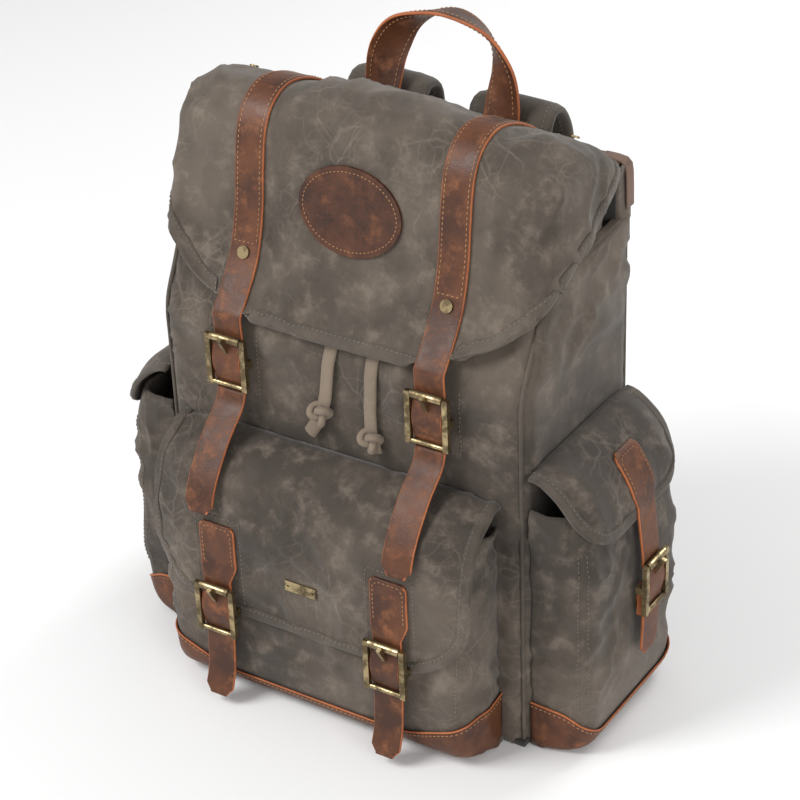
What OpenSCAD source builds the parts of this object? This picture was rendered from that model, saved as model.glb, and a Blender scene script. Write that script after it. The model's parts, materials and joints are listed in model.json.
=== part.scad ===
/* [Body] */
// Width of the bag body without its side pockets
body_w = 320; // [300:5:380]
// Depth of the bag body without its front pocket
body_d = 160; // [140:5:190]
// Height of the straight part of the front panel
front_h = 296; // [270:2:340]
// Rise of the sloped upper part of the front panel
slope_h = 84; // [60:2:100]
// How far the upper front panel leans back
slope_in = 44; // [30:1:54]
// Height of the back panel
back_h = 426; // [410:2:480]
// Canvas with its lining
wall = 2.4; // [1.6:0.2:3.6]
// Thickness of the padded back panel
back_pad = 10; // [6:1:14]
// Depth of the zipped rear compartment
rear_gap = 12; // [10:1:16]
// Stiffening board in the base
board_t = 2; // [1:0.5:4]

/* [Collar] */
// Height of the collar's top edge
collar_top = 422; // [410:2:440]
// Height of the drawcord tunnel
tunnel_h = 20; // [16:1:28]
// Thickness of the drawcord tunnel
tunnel_t = 9; // [8:0.5:12]
// Diameter of the drawcord in its tunnel
cord_d = 5; // [3:0.5:6]
// Width of each hanging drawcord tail
tail_w = 11; // [8:0.5:14]
// Thickness of each hanging drawcord tail
tail_t = 4; // [3:0.5:5]

/* [Main flap] */
// How far the flap overhangs each side of the body
flap_side = 0.6; // [0.4:0.1:2]
// Height of the flap's lip at its middle
flap_lip = 311; // [290:1:330]
// Radius of the flap's lower corners
flap_r = 64; // [40:2:90]
// Thickness of a doubled canvas flap
flap_t = 2.4; // [1.6:0.2:3.2]
// Length of the oval patch
patch_w = 88; // [60:2:110]
// Height of the oval patch
patch_h = 66; // [50:2:80]
// Thickness of the oval patch
patch_t = 2; // [1.5:0.1:3]

/* [Straps] */
// Width of the leather straps
strap_w = 25; // [20:1:30]
// Thickness of the leather straps
strap_t = 2.4; // [1.8:0.1:2.8]
// Distance from the middle to each main strap
main_x = 88; // [76:1:100]
// Height of the main buckles' centre bar
main_z = 276; // [262:1:280]
// Distance from the middle to each front pocket strap
front_x = 77; // [60:1:90]
// Height of the front pocket buckles' centre bar
front_z = 86; // [82:1:92]
// Height of the side pocket buckles' centre bar
side_z = 125; // [110:1:135]
// Place of the side pocket straps along the depth
side_y = 4; // [-10:1:15]
// Width of the stitched strap tabs on the pocket flaps
tab_w = 32; // [28:1:38]

/* [Buckles] */
// Width between the buckle's side rails
frame_in = 27; // [26:0.5:34]
// Width of a side rail
rail_w = 4.5; // [3.5:0.5:6]
// Thickness of the frame
frame_t = 4; // [3:0.5:5]
// Distance from the centre bar to each end bar
frame_half = 19.5; // [18:0.5:22]
// Radius of the end bars
bar_r = 2; // [1.6:0.1:2.2]
// Radius of the centre bar
centre_r = 1.6; // [1.4:0.1:1.8]
// Outer radius of the roller
roller_r = 3.1; // [2.8:0.1:3.2]
// Running clearance of roller and prong on their bars
run_gap = 0.08; // [0.05:0.01:0.1]
// Thickness of one layer of the leather chape
chape_t = 2; // [1.6:0.1:2.1]
// Width of the chape
chape_w = 22; // [18:1:24]
// Radius of the magnetic snap
snap_r = 7; // [5:0.5:8]
// Thickness of the snap's socket
socket_t = 1.6; // [1:0.1:1.8]

/* [Pockets] */
// Half width of the front pocket
front_half = 136; // [120:2:146]
// Height of the front pocket's hinge line
front_top = 216; // [200:1:222]
// Depth of the front pocket
front_depth = 52; // [40:1:60]
// Height of the side pockets' hinge line
side_top = 243; // [230:1:260]
// Depth of the side pockets
side_depth = 50; // [40:1:60]
// Front edge of the side pockets, from the middle of the body
side_front = -72; // [-78:1:-60]
// Back edge of the side pockets, from the middle of the body
side_back = 68; // [50:1:74]
// Wall of the pockets
pocket_t = 2.4; // [1.6:0.2:3]
// Height of the pockets' bottom above the ground
pocket_z = 3; // [2:1:12]
// Thickness of the leather trims
trim_t = 1.6; // [1.2:0.1:2.4]

/* [Carrying] */
// Distance from the middle to each leg of the handle
handle_x = 52; // [44:1:60]
// Width of the handle
handle_w = 30; // [24:1:34]
// Thickness of the handle
handle_t = 3.2; // [2.4:0.2:4]
// Height of the handle above its base
handle_h = 78; // [60:1:90]
// How far the handle leans back, in degrees
handle_lean = 12; // [6:1:14]
// Width of a shoulder pad at its top
pad_w = 72; // [60:2:76]
// Width of a shoulder pad at its lower end
pad_w_low = 56; // [46:2:64]
// Thickness of a shoulder pad
pad_t = 9; // [7:0.5:11]
// Width of the lower webbing
web_w = 25; // [20:1:30]
// Thickness of the lower webbing
web_t = 2; // [1.5:0.1:2.5]

/* [Hidden] */
$fn = 48;
soft_gap = 0.4;     // between soft pieces of different bodies
sewn_gap = 0.1;     // between pieces sewn to each other
front_y = -body_d / 2;
back_y = body_d / 2;
side_x = body_w / 2;
pad_front = back_y - back_pad;
divider_y = pad_front - rear_gap;
panel_top = front_h + slope_h;
top_y = front_y + slope_in;

CANVAS = "#6b665e";
DARK = "#4b4741";
LEATHER = "#7a4a2b";
BRASS = "#9a7f4a";
CORD = "#8b8577";
LINING = "#3a3733";

// ---- curves and sheets -------------------------------------------------

// One point of the smooth curve through p1 and p2
function curve_at(p0, p1, p2, p3, t) =
    0.5 * (2 * p1 + (p2 - p0) * t + (2 * p0 - 5 * p1 + 4 * p2 - p3) * t * t
           + (3 * p1 - p0 - 3 * p2 + p3) * t * t * t);

// A smooth curve through all points, with n steps between neighbours
function smooth(p, n = 4) =
    let (last = len(p) - 1)
    [for (i = [0 : last - 1], k = [0 : n - 1])
        curve_at(p[max(i - 1, 0)], p[i], p[i + 1], p[min(i + 2, last)], k / n),
     p[last]];

function unit(v) = v / norm(v);
function tangent(p, i) = unit(p[min(i + 1, len(p) - 1)] - p[max(i - 1, 0)]);

// A plane curve moved sideways by d, to the right of its direction
function beside(p, d) =
    [for (i = [0 : len(p) - 1]) let (t = tangent(p, i)) p[i] + d * [t[1], -t[0]]];
function backwards(p) = [for (i = [len(p) - 1 : -1 : 0]) p[i]];

// The outline of a sheet whose two faces lie d1 and d2 beside a curve
function sheet(p, d1, d2) = concat(beside(p, d1), backwards(beside(p, d2)));

// An arc of a circle as points
function arc(c, r, a, b, n = 10) =
    [for (i = [0 : n]) let (w = a + (b - a) * i / n) c + r * [cos(w), sin(w)]];

// Points given as [depth, height], drawn across the width from x1 to x2
module across(x1, x2) {
    translate([x1, 0, 0]) rotate([90, 0, 90]) linear_extrude(x2 - x1) children();
}

// Points given as [width, height], drawn along the depth from y1 to y2
module along(y1, y2) {
    translate([0, y2, 0]) rotate([90, 0, 0]) linear_extrude(y2 - y1) children();
}

module both() {
    children();
    mirror([1, 0, 0]) children();
}

// A solid swept through sections that all have the same number of points
module swept(rings) {
    n = len(rings[0]);
    m = len(rings);
    polyhedron(
        points = [for (r = rings) each r],
        faces = concat(
            [for (i = [0 : m - 2], k = [0 : n - 1])
                [i * n + k, i * n + (k + 1) % n, (i + 1) * n + (k + 1) % n, (i + 1) * n + k]],
            [[for (k = [n - 1 : -1 : 0]) k]],
            [[for (k = [0 : n - 1]) (m - 1) * n + k]]),
        convexity = 6);
}

// A flat strap along 3-D points, with its width direction and width at each
function strap_ring(p, t, across_dir, w, thick) =
    let (a = unit(across_dir - (across_dir * t) * t), b = cross(t, a))
    [p - a * w / 2 - b * thick / 2, p + a * w / 2 - b * thick / 2,
     p + a * w / 2 + b * thick / 2, p - a * w / 2 + b * thick / 2];

// An oval cord's section with eight sides
function cord_ring(p, t, across_dir, w, thick) =
    let (a = unit(across_dir - (across_dir * t) * t), b = cross(t, a))
    [for (k = [0 : 7]) p + a * cos(45 * k) * w / 2 + b * sin(45 * k) * thick / 2];

// ---- profiles, as [depth, height] -----------------------------------------

side_outline = [
    [front_y, 0], [front_y, front_h], [top_y, panel_top], [divider_y, panel_top],
    [divider_y, back_h], [back_y, back_h], [back_y, 0]
];
// The main flap's inner face, from its seam over the top to its lip
hinge_y = divider_y;
hinge_z = 433;
flap_curve = smooth([
    [hinge_y, hinge_z], [44, 446], [18, 461], [-8, 467.5], [-27, 461], [-38.5, 444],
    [-44, 415], [-48, 385], [-57.5, 352], [-72.5, 328], [front_y - 6, flap_lip]
]);
flap_half = side_x + flap_side + flap_t;
cheek_back = 425;    // the cheeks' height at the seam, and where they end in front
cheek_low = 352;
// The front pocket's outer face, from the ground up to its mouth
front_face = -front_depth;
front_curve = smooth([
    [0, pocket_z], [front_face + 22, pocket_z], [front_face + 5, 14], [front_face + 0.5, 38],
    [front_face, 50], [front_face, 62], [front_face, 118], [front_face, 135],
    [front_face + 6, 172], [front_face + 20, 194]
]);
front_flap_curve = smooth([
    [-3, front_top], [-20, front_top - 2.5], [front_face + 11, front_top - 16],
    [front_face + 1.5, front_top - 38], [front_face - 0.7, 150], [front_face - 0.7, 115],
    [front_face - 0.7, 80]
]);
// A side pocket's outer face, as distance from the body's side
side_face = -side_depth;
side_curve = smooth([
    [0, pocket_z], [side_face + 24, pocket_z], [side_face + 6, 12], [side_face, 45],
    [side_face, 60], [side_face, 135], [side_face, 148], [side_face + 4, 185], [side_face + 14, 212]
]);
side_flap_curve = smooth([
    [-1.5, side_top], [-14, side_top - 2], [side_face + 17, side_top - 14],
    [side_face + 2.5, side_top - 38], [side_face - 0.7, 183]
]);

// ---- the closure: depth is measured outward from the face it closes on -----

chape_back = socket_t + 2 * sewn_gap + 1.7;     // back of the chape, clear of the flap's lip
bar_out = chape_back + 2 * chape_t + 0.5;       // the centre bar's distance from the face
frame_out = bar_out + 5;
strap_top = frame_out - roller_r - soft_gap - strap_t / 2;
strap_mid = bar_out + centre_r + chape_t + 2 * soft_gap + strap_t / 2;
strap_low = frame_out - bar_r - soft_gap - strap_t / 2;
bend_z = -frame_half - 5.5;
prong_w = 3.2;
prong_tilt = atan((frame_out - bar_out) / frame_half)
    + asin((roller_r + prong_w / 2 + 0.3) / norm([frame_out - bar_out, frame_half]));
snap_z = -17;

// The strap's middle line through a buckle, from above it to below it
function buckle_run(z, face = 0) = [
    for (p = [[strap_top, frame_half + 7], [strap_top, frame_half], [strap_mid - 1.6, 10],
              [strap_mid, 0], [strap_mid - 1.8, -11], [strap_low, -frame_half],
              [strap_low, bend_z + 2]]) [face - p[0], z + p[1]]
];

module buckle_frame() {
    half = frame_in / 2 + rail_w;
    color(BRASS) {
        translate([0, -frame_out, 0]) along(-frame_t / 2, frame_t / 2) difference() {
            square([2 * half, 2 * (frame_half + bar_r)], center = true);
            square([frame_in, 2 * (frame_half + 2 * bar_r)], center = true);
        }
        for (z = [-frame_half, frame_half])
            translate([-half + 1, -frame_out, z]) rotate([0, 90, 0]) cylinder(r = bar_r, h = 2 * half - 2);
        for (x = [-frame_in / 2 - rail_w, frame_in / 2])
            translate([x, -frame_out, -3]) cube([rail_w, frame_out - bar_out + 2.5, 6]);
        translate([-half + 1, -bar_out, 0]) rotate([0, 90, 0]) cylinder(r = centre_r, h = 2 * half - 2);
    }
}

module buckle_roller() {
    color(BRASS) translate([-frame_in / 2 + 0.4, -frame_out, frame_half]) rotate([0, 90, 0]) difference() {
        cylinder(r = roller_r, h = frame_in - 0.8);
        translate([0, 0, -1]) cylinder(r = bar_r + run_gap, h = frame_in + 2);
    }
}

module buckle_prong() {
    color(BRASS) translate([-prong_w / 2, -bar_out, 0]) difference() {
        union() {
            rotate([0, 90, 0]) cylinder(r = centre_r + 1.5, h = prong_w);
            rotate([prong_tilt, 0, 0]) translate([0, -prong_w / 2, centre_r + 0.5])
                cube([prong_w, prong_w, frame_half / cos(prong_tilt) + 1]);
        }
        translate([-1, 0, 0]) rotate([0, 90, 0]) cylinder(r = centre_r + run_gap, h = prong_w + 2);
    }
}

module chape() {
    loop_in = centre_r + 0.15;
    color(LEATHER) translate([0, -bar_out, 0]) difference() {
        union() {
            across(-chape_w / 2, chape_w / 2) circle(loop_in + chape_t);
            translate([-chape_w / 2, bar_out - chape_back - 2 * chape_t, -27])
                cube([chape_w, 2 * chape_t, 27]);
        }
        across(-chape_w, chape_w) circle(loop_in);
        translate([-prong_w / 2 - 0.4, -8, -4.5]) cube([prong_w + 0.8, 16, 14]);
    }
}

module snap_stud() {
    color(BRASS) translate([0, -chape_back, snap_z]) rotate([-90, 0, 0])
        cylinder(r = snap_r, h = chape_back - socket_t - 0.3);
}

module snap_socket() {
    color(BRASS) translate([0, -socket_t, snap_z]) rotate([-90, 0, 0]) cylinder(r = snap_r + 1.5, h = socket_t);
}

// The leather strap along a middle line, with its prong slot at height z
module strap_sheet(middle, w, z, face = 0) {
    difference() {
        across(-w / 2, w / 2) polygon(sheet(middle, -strap_t / 2, strap_t / 2));
        translate([-prong_w / 2 - 0.5, face - frame_out - 6, z - 2]) cube([prong_w + 1, 14, 17]);
    }
}

// A strap's middle line: on a flap from point i1 to i2 of its curve, then along the given points
strap_over = flap_t + sewn_gap + strap_t / 2;
function strap_run(curve, i1, i2, rest) =
    let (on = beside(curve, strap_over))
    concat([for (i = [i1 : i2 - 1]) on[i]], smooth(concat([on[i2]], rest), 3));

// A strap whose upper end is a wider stitched tab with rounded corners
module tabbed_strap(middle, z, face, tab_top, tab_low) {
    r = 6;
    half = tab_w / 2;
    thin = strap_w / 2;
    intersection() {
        strap_sheet(middle, tab_w, z, face);
        along(face - 40, 0) polygon(concat(
            arc([half - r, tab_top - r], r, 0, 90, 5), arc([-half + r, tab_top - r], r, 90, 180, 5),
            [[-half, tab_low], [-thin, tab_low - 10], [-thin, 0], [thin, 0], [thin, tab_low - 10],
             [half, tab_low]]));
    }
}

module at_main(x = main_x) { translate([x, front_y, main_z]) children(); }
module at_front(x = front_x) { translate([x, front_y - front_depth, front_z]) children(); }
module at_right() { translate([side_x + side_depth, side_y, side_z]) rotate([0, 0, 90]) children(); }

// ---- the body --------------------------------------------------------------

module front_panel() {
    color(CANVAS) across(-side_x + wall, side_x - wall) polygon([
        [front_y, board_t + wall], [front_y, front_h], [top_y, panel_top], [top_y + wall, panel_top],
        [front_y + wall, front_h - 1], [front_y + wall, board_t + wall]
    ]);
}

module back_panel() {
    color(CANVAS) translate([-side_x + wall, pad_front, board_t + wall])
        cube([body_w - 2 * wall, back_pad, back_h - board_t - wall]);
}

module side_panels() {
    color(CANVAS) both() across(side_x - wall, side_x) polygon(side_outline);
}

module base_panel() {
    color(DARK) translate([-side_x + wall, front_y, 0]) cube([body_w - 2 * wall, body_d, wall]);
}

module base_board() {
    color(LINING) translate([-side_x + wall, front_y, wall]) cube([body_w - 2 * wall, body_d, board_t]);
}

module laptop_divider() {
    color(LINING) translate([-side_x + wall, divider_y, board_t + wall])
        cube([body_w - 2 * wall, wall, back_h - board_t - wall]);
}

collar_y1 = top_y + wall;
collar_half = side_x - wall - sewn_gap;
collar_low = panel_top - 16;
module collar_block(inset, z1, z2) {
    translate([-collar_half + inset, collar_y1 + inset, z1])
        cube([2 * (collar_half - inset), divider_y - collar_y1 - 2 * inset, z2 - z1]);
}

eyelet_r = tail_w / 2 + 0.5;
eyelet_x = 18;      // from each eyelet to the pair's middle
pair_x = 16;        // the pair's middle, from the middle of the bag
eyelet_z = collar_top - tunnel_h / 2;
module collar() {
    color(CANVAS) difference() {
        collar_block(0, collar_low, collar_top);
        collar_block(wall, collar_low - 1, collar_top - tunnel_h);
        collar_block(tunnel_t, collar_low - 1, collar_top + 1);
        difference() {
            collar_block(1.6, collar_top - tunnel_h + 2, collar_top - 2);
            collar_block(tunnel_t - 1.6, collar_low, collar_top);
        }
        for (x = [-1, 1]) translate([pair_x + x * eyelet_x, collar_y1 - 1, eyelet_z]) rotate([-90, 0, 0])
            cylinder(r = eyelet_r + 1, h = 4);
    }
}

module collar_eyelets() {
    color(BRASS) for (x = [-1, 1]) translate([pair_x + x * eyelet_x, collar_y1 - 1, eyelet_z]) rotate([-90, 0, 0])
        difference() {
            union() {
                cylinder(r = eyelet_r + 2.4, h = 0.9);
                cylinder(r = eyelet_r + 0.9, h = 2.5);
            }
            translate([0, 0, -1]) cylinder(r = eyelet_r, h = 6);
        }
}

module drawcord_loop() {
    mid = tunnel_t / 2;
    color(CORD) difference() {
        collar_block(mid - cord_d / 2 + 0.2, eyelet_z - cord_d / 2, eyelet_z + cord_d / 2);
        collar_block(mid + cord_d / 2 - 0.2, eyelet_z - cord_d, eyelet_z + cord_d);
    }
}

// Round points along each hanging drawcord tail, from its eyelet to its tip
left_tail = [
    [-2, -32, 412], [-2, -36, 411], [-2, -38.5, 405], [-2, -39, 395], [-2, -40, 385],
    [-2, -44, 374], [-2, -49, 363], [-2, -54, 352], [-2, -60, 340], [-2, -66, 328],
    [-2, -73.2, 315], [-2, -79.8, 303], [-3, -83, 292], [-4, -84, 280], [-6, -84, 265],
    [-10, -84, 250], [-15, -84, 240], [-22, -84, 229]
];
right_tail = [
    [34, -32, 412], [34, -36, 411], [34, -38.5, 405], [34, -39, 395], [34, -40, 385],
    [34, -44, 374], [34, -49, 363], [34, -54, 352], [34, -60, 340], [34, -66, 328],
    [34, -73.2, 315], [34, -79.8, 303], [34, -83, 292], [34, -84, 280], [33, -84, 265],
    [33, -84, 250], [34, -84, 240], [37, -84, 229]
];
module cord_tail(p) {
    color(CORD) swept([for (i = [0 : len(p) - 1]) cord_ring(p[i], tangent(p, i), [1, 0, 0], tail_w, tail_t)]);
}
module drawcord_left_tail() { cord_tail(left_tail); }
module drawcord_right_tail() { cord_tail(right_tail); }
module drawcord_knots() {
    color(CORD) for (p = [left_tail[15], right_tail[16]])
        translate([p[0], front_y - 5, p[2]]) rotate([90, 0, 0]) translate([0, 0, -4.5]) cylinder(r = 10, h = 9);
}

// ---- pockets ---------------------------------------------------------------

// A pocket open at its top and against the body, half-width given about the middle
module pocket_shell(curve, x1, x2) {
    inner = beside(curve, pocket_t);
    top = curve[len(curve) - 1];
    difference() {
        across(x1, x2) polygon(concat(curve, [[0, top[1]]]));
        across(x1 + pocket_t, x2 - pocket_t)
            polygon(concat([[1, pocket_z + pocket_t]], inner, [[top[0] + 3, top[1] + 20], [1, top[1] + 20]]));
    }
}

module front_pocket() {
    color(CANVAS) translate([0, front_y, 0]) pocket_shell(front_curve, -front_half, front_half);
}

module right_place() { translate([side_x, 0, 0]) rotate([0, 0, 90]) children(); }
module right_pocket() { color(CANVAS) right_place() pocket_shell(side_curve, side_front, side_back); }
module left_pocket() { mirror([1, 0, 0]) right_pocket(); }

// The lower stretch of a pocket's face, drawn as a thin strip of leather
module trim_strip(curve, x1, x2, count) {
    low = [for (i = [5 : count]) curve[i]];
    across(x1, x2) polygon(sheet(low, -sewn_gap, -sewn_gap - trim_t));
}
module pocket_trims() {
    color(LEATHER) {
        translate([0, front_y, 0]) trim_strip(front_curve, -front_half, front_half, 10);
        both() right_place() trim_strip(side_curve, side_front, side_back, 10);
    }
}

module snap_sockets() {
    both() {
        at_main() snap_socket();
        at_front() snap_socket();
        at_right() snap_socket();
    }
}

zip_half = 156;
zip_z = back_h;
zip_y = back_y - handle_w / 3 - 1;
module zip_tape() {
    color("#6d5546") {
        translate([-zip_half, divider_y, zip_z]) cube([2 * zip_half, back_y - divider_y - 5, 1]);
        translate([-zip_half, zip_y - 2, zip_z + 1]) cube([2 * zip_half, 4, 1.4]);
    }
}

// ---- carrying ----------------------------------------------------------------

handle_y = back_y - 4;
handle_z = back_h + 2;
// The handle's middle line in its own plane: two legs and a round arch
handle_line = smooth([
    [-handle_x, 0], [-handle_x, 18], [-handle_x + 3, handle_h * 0.55], [-handle_x + 18, handle_h * 0.85],
    [0, handle_h], [handle_x - 18, handle_h * 0.85], [handle_x - 3, handle_h * 0.55],
    [handle_x, 18], [handle_x, 0]
]);
module carry_handle() {
    last = len(handle_line) - 1;
    color(LEATHER) translate([0, handle_y, handle_z]) rotate([-handle_lean, 0, 0])
        swept([for (i = [0 : last])
            let (p = handle_line[i], t = tangent(handle_line, i),
                 turn = 90 * sin(180 * i / last) * sin(180 * i / last),
                 w = cos(turn) * [t[1], 0, -t[0]] + sin(turn) * [0, 1, 0])
            strap_ring([p[0], 0, p[1]], [t[0], 0, t[1]], w, handle_w, handle_t)]);
}

// A shoulder pad's middle line from its root at the top to its lower end
pad_line = smooth([
    [54, back_y + 5, 412], [54, back_y + 6.5, 430], [54, back_y + 14, 440], [54, back_y + 27, 438],
    [55, back_y + 35.5, 424], [57, back_y + 38, 400], [63, back_y + 34, 340], [76, back_y + 28, 270],
    [90, back_y + 23, 205]
], 3);
module right_pad() {
    last = len(pad_line) - 1;
    color(CANVAS) swept([for (i = [0 : last])
        strap_ring(pad_line[i], tangent(pad_line, i), [1, 0, 0],
                   pad_w + (pad_w_low - pad_w) * i / last, pad_t)]);
}
module left_pad() { mirror([1, 0, 0]) right_pad(); }

web_top = [92, back_y + 22, 200];
web_end = [128, back_y + 7, 34];
web_dir = unit(web_end - web_top);
module right_webbing() {
    color(DARK) swept([for (k = [0, 1]) let (p = web_top + k * (web_end - web_top))
        strap_ring(p, web_dir, [1, 0, 0], web_w, web_t)]);
}
module left_webbing() { mirror([1, 0, 0]) right_webbing(); }

anchor = [40, 8, 26];
module strap_anchors() {
    color(LEATHER) both() translate([web_end[0] - anchor[0] / 2, back_y, 12]) difference() {
        cube(anchor);
        translate([anchor[0] / 2 - web_w / 2 - 1, 5.5, 18]) cube([web_w + 2, 5, 10]);
    }
}

slider_wall = 2.5;
slider_h = 12;
module right_slider() {
    a = unit([1, 0, 0] - web_dir[0] * web_dir);
    b = cross(web_dir, a);
    at = web_top + 26 * web_dir;
    ring_w = web_w + 2 * soft_gap;
    ring_t = web_t + 2 * soft_gap;
    color(BRASS) translate(at)
        multmatrix([[a[0], b[0], web_dir[0], 0], [a[1], b[1], web_dir[1], 0], [a[2], b[2], web_dir[2], 0],
                    [0, 0, 0, 1]])
        difference() {
            translate([-ring_w / 2 - slider_wall, -ring_t / 2 - slider_wall, 0])
                cube([ring_w + 2 * slider_wall, ring_t + 2 * slider_wall, slider_h]);
            translate([-ring_w / 2, -ring_t / 2, -1]) cube([ring_w, ring_t, slider_h + 2]);
        }
}
module left_slider() { mirror([1, 0, 0]) right_slider(); }

slider_x = 120;
slider_low = zip_z + 1 + 1.4 + 0.3;
module zip_slider() {
    color(BRASS) translate([slider_x - 7, zip_y - 4, slider_low]) {
        cube([14, 8, 2]);
        translate([4, 2.5, 2]) difference() {
            cube([6, 3, 3.4]);
            translate([3, -1, 1.5]) rotate([-90, 0, 0]) cylinder(r = 0.9, h = 6);
        }
    }
}
puller_r = 0.9 - run_gap;
module zip_puller() {
    color(LEATHER) translate([slider_x, zip_y, slider_low + 3.5]) {
        rotate([90, 0, 0]) translate([0, 0, -3]) cylinder(r = puller_r, h = 6);
        for (y = [-3.4, 2]) translate([-28, y, -puller_r]) cube([29, 1.4, 2 * puller_r]);
        translate([-36, -3.4, -puller_r]) cube([10, 6.8, 2 * puller_r]);
    }
}

// ---- main flap ---------------------------------------------------------------

// The flap's outline from the front: square at its seam, round at its lower corners
module lip_outline(half, lip, r, top) {
    polygon(concat(
        arc([half - r, lip + r], r, -90, 0, 12), [[half, top], [-half, top]],
        arc([-half + r, lip + r], r, 180, 270, 12)));
}

module main_flap() {
    cheek = concat([for (p = flap_curve) if (p[1] > cheek_low) p], [[hinge_y, cheek_back]]);
    color(CANVAS) intersection() {
        union() {
            across(-flap_half, flap_half) polygon(sheet(flap_curve, 0, flap_t));
            both() across(flap_half - flap_t, flap_half) polygon(cheek);
        }
        along(front_y - 20, back_y) lip_outline(flap_half, flap_lip - 3, flap_r, 500);
    }
}

patch_z = 402;
module flap_patch() {
    color(LEATHER) intersection() {
        across(-patch_w / 2, patch_w / 2)
            polygon(sheet(flap_curve, flap_t + sewn_gap, flap_t + sewn_gap + patch_t));
        along(front_y - 20, 0) polygon([for (k = [0 : 35])
            [patch_w / 2 * cos(10 * k), patch_z + patch_h / 2 * sin(10 * k)]]);
    }
}

main_run = strap_run(flap_curve, 2, 40, buckle_run(main_z, front_y));
rivet_r = 5;
module main_strap(x) {
    color(LEATHER) translate([x, 0, 0]) strap_sheet(main_run, strap_w, main_z, front_y);
}
module main_strap_left() { main_strap(-main_x); }
module main_strap_right() { main_strap(main_x); }

// A rivet cap at point i of the flap's curve, standing on what lies over it
module rivet_on(x, i, over, r) {
    t = tangent(flap_curve, i);
    p = flap_curve[i] + (over + 2.5 * sewn_gap) * [t[1], -t[0]];
    color(BRASS) translate([x, p[0], p[1]]) rotate([atan2(-t[1], -t[0]), 0, 0]) cylinder(r = r, h = 1.4);
}
strap_rivet = 32;    // points of the flap's curve where the rivets stand
corner_rivet = 6;
corner_x = 138;
module flap_rivets() {
    both() {
        rivet_on(main_x, strap_rivet, strap_over + strap_t / 2, rivet_r);
        rivet_on(corner_x, corner_rivet, flap_t, 3.5);
    }
}

module main_frames() { both() at_main() buckle_frame(); }
module main_rollers() { both() at_main() buckle_roller(); }
module main_prongs() { both() at_main() buckle_prong(); }
module main_chapes() { both() at_main() chape(); }
module main_studs() { both() at_main() snap_stud(); }

// The tail below the main buckle, from its bend to its cut tip
tail_run = smooth([
    [front_y - strap_low, main_z + bend_z], [front_y - strap_low - 5, main_z + bend_z - 12],
    [front_y - 33, 222], [front_y - 50, 200], [front_y - 58.5, 184], [front_y - 62, 170]
], 3);
module strap_tail(middle, w) {
    tip = middle[len(middle) - 1];
    difference() {
        union() {
            across(-w / 2, w / 2) polygon(sheet(middle, -strap_t / 2, strap_t / 2));
            translate([-w / 2, middle[0][0], middle[0][1]]) rotate([0, 90, 0]) cylinder(d = strap_t, h = w);
        }
        for (s = [-1, 1]) translate([s * w / 2, 0, tip[1] - 2]) rotate([0, s * 30, 0])
            translate([-3, -300, -12]) cube([6, 300, 16]);
    }
}
module main_tails() {
    color(LEATHER) both() translate([main_x, 0, 0]) strap_tail(tail_run, strap_w);
}

// ---- front pocket flap -------------------------------------------------------

front_lip = front_flap_curve[len(front_flap_curve) - 1][1];
module front_flap() {
    half = front_half + 3;
    color(CANVAS) translate([0, front_y, 0]) intersection() {
        across(-half, half) polygon(sheet(front_flap_curve, 0, flap_t));
        along(-front_depth - 20, 0) lip_outline(half, front_lip, 60, front_top + 10);
    }
}

front_run = strap_run(front_flap_curve, 10, 19, concat(buckle_run(front_z, -front_depth),
    [[-front_depth - strap_low - 0.3, front_z + bend_z - 12], [-front_depth - 12, 28],
     [-front_depth - 19, 9]]));
module front_strap(x) {
    color(LEATHER) translate([x, front_y, 0]) tabbed_strap(front_run, front_z, -front_depth, 160, 122);
}
module front_strap_left() { front_strap(-front_x); }
module front_strap_right() { front_strap(front_x); }
module front_frames() { both() at_front() buckle_frame(); }
module front_rollers() { both() at_front() buckle_roller(); }
module front_prongs() { both() at_front() buckle_prong(); }
module front_chapes() { both() at_front() chape(); }
module front_studs() { both() at_front() snap_stud(); }

badge_size = [28, 1.2, 9];
badge_hole = 11;
module badge() {
    face = front_y + front_flap_curve[16][0] - flap_t - sewn_gap - 0.3;
    color(BRASS) translate([-2, face, 125]) difference() {
        translate([-badge_size[0] / 2, -badge_size[1], -badge_size[2] / 2]) cube(badge_size);
        for (s = [-1, 1]) translate([s * badge_hole, 1, 0]) rotate([90, 0, 0]) cylinder(r = 0.9, h = 4);
    }
}

// ---- side pocket flaps -------------------------------------------------------

side_lip = side_flap_curve[len(side_flap_curve) - 1][1];
module right_flap() {
    middle = (side_front + side_back) / 2;
    half = (side_back - side_front) / 2 + 3;
    color(CANVAS) right_place() translate([middle, 0, 0]) intersection() {
        across(-half, half) polygon(sheet(side_flap_curve, 0, flap_t));
        along(-side_depth - 20, 0) lip_outline(half, side_lip, 40, side_top + 10);
    }
}
module left_flap() { mirror([1, 0, 0]) right_flap(); }

side_run = strap_run(side_flap_curve, 5, 15, concat(buckle_run(side_z, -side_depth),
    [[-side_depth - strap_low + 0.4, side_z + bend_z - 12], [-side_depth - 8, 62]]));
module right_strap() {
    color(LEATHER) right_place() translate([side_y, 0, 0])
        tabbed_strap(side_run, side_z, -side_depth, 234, 204);
}
module left_strap() { mirror([1, 0, 0]) right_strap(); }
module right_frame() { at_right() { buckle_frame(); snap_stud(); } }
module left_frame() { mirror([1, 0, 0]) right_frame(); }
module right_chape() { at_right() chape(); }
module left_chape() { mirror([1, 0, 0]) right_chape(); }
module right_roller() { at_right() buckle_roller(); }
module left_roller() { mirror([1, 0, 0]) right_roller(); }
module right_prong() { at_right() buckle_prong(); }
module left_prong() { mirror([1, 0, 0]) right_prong(); }

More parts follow.
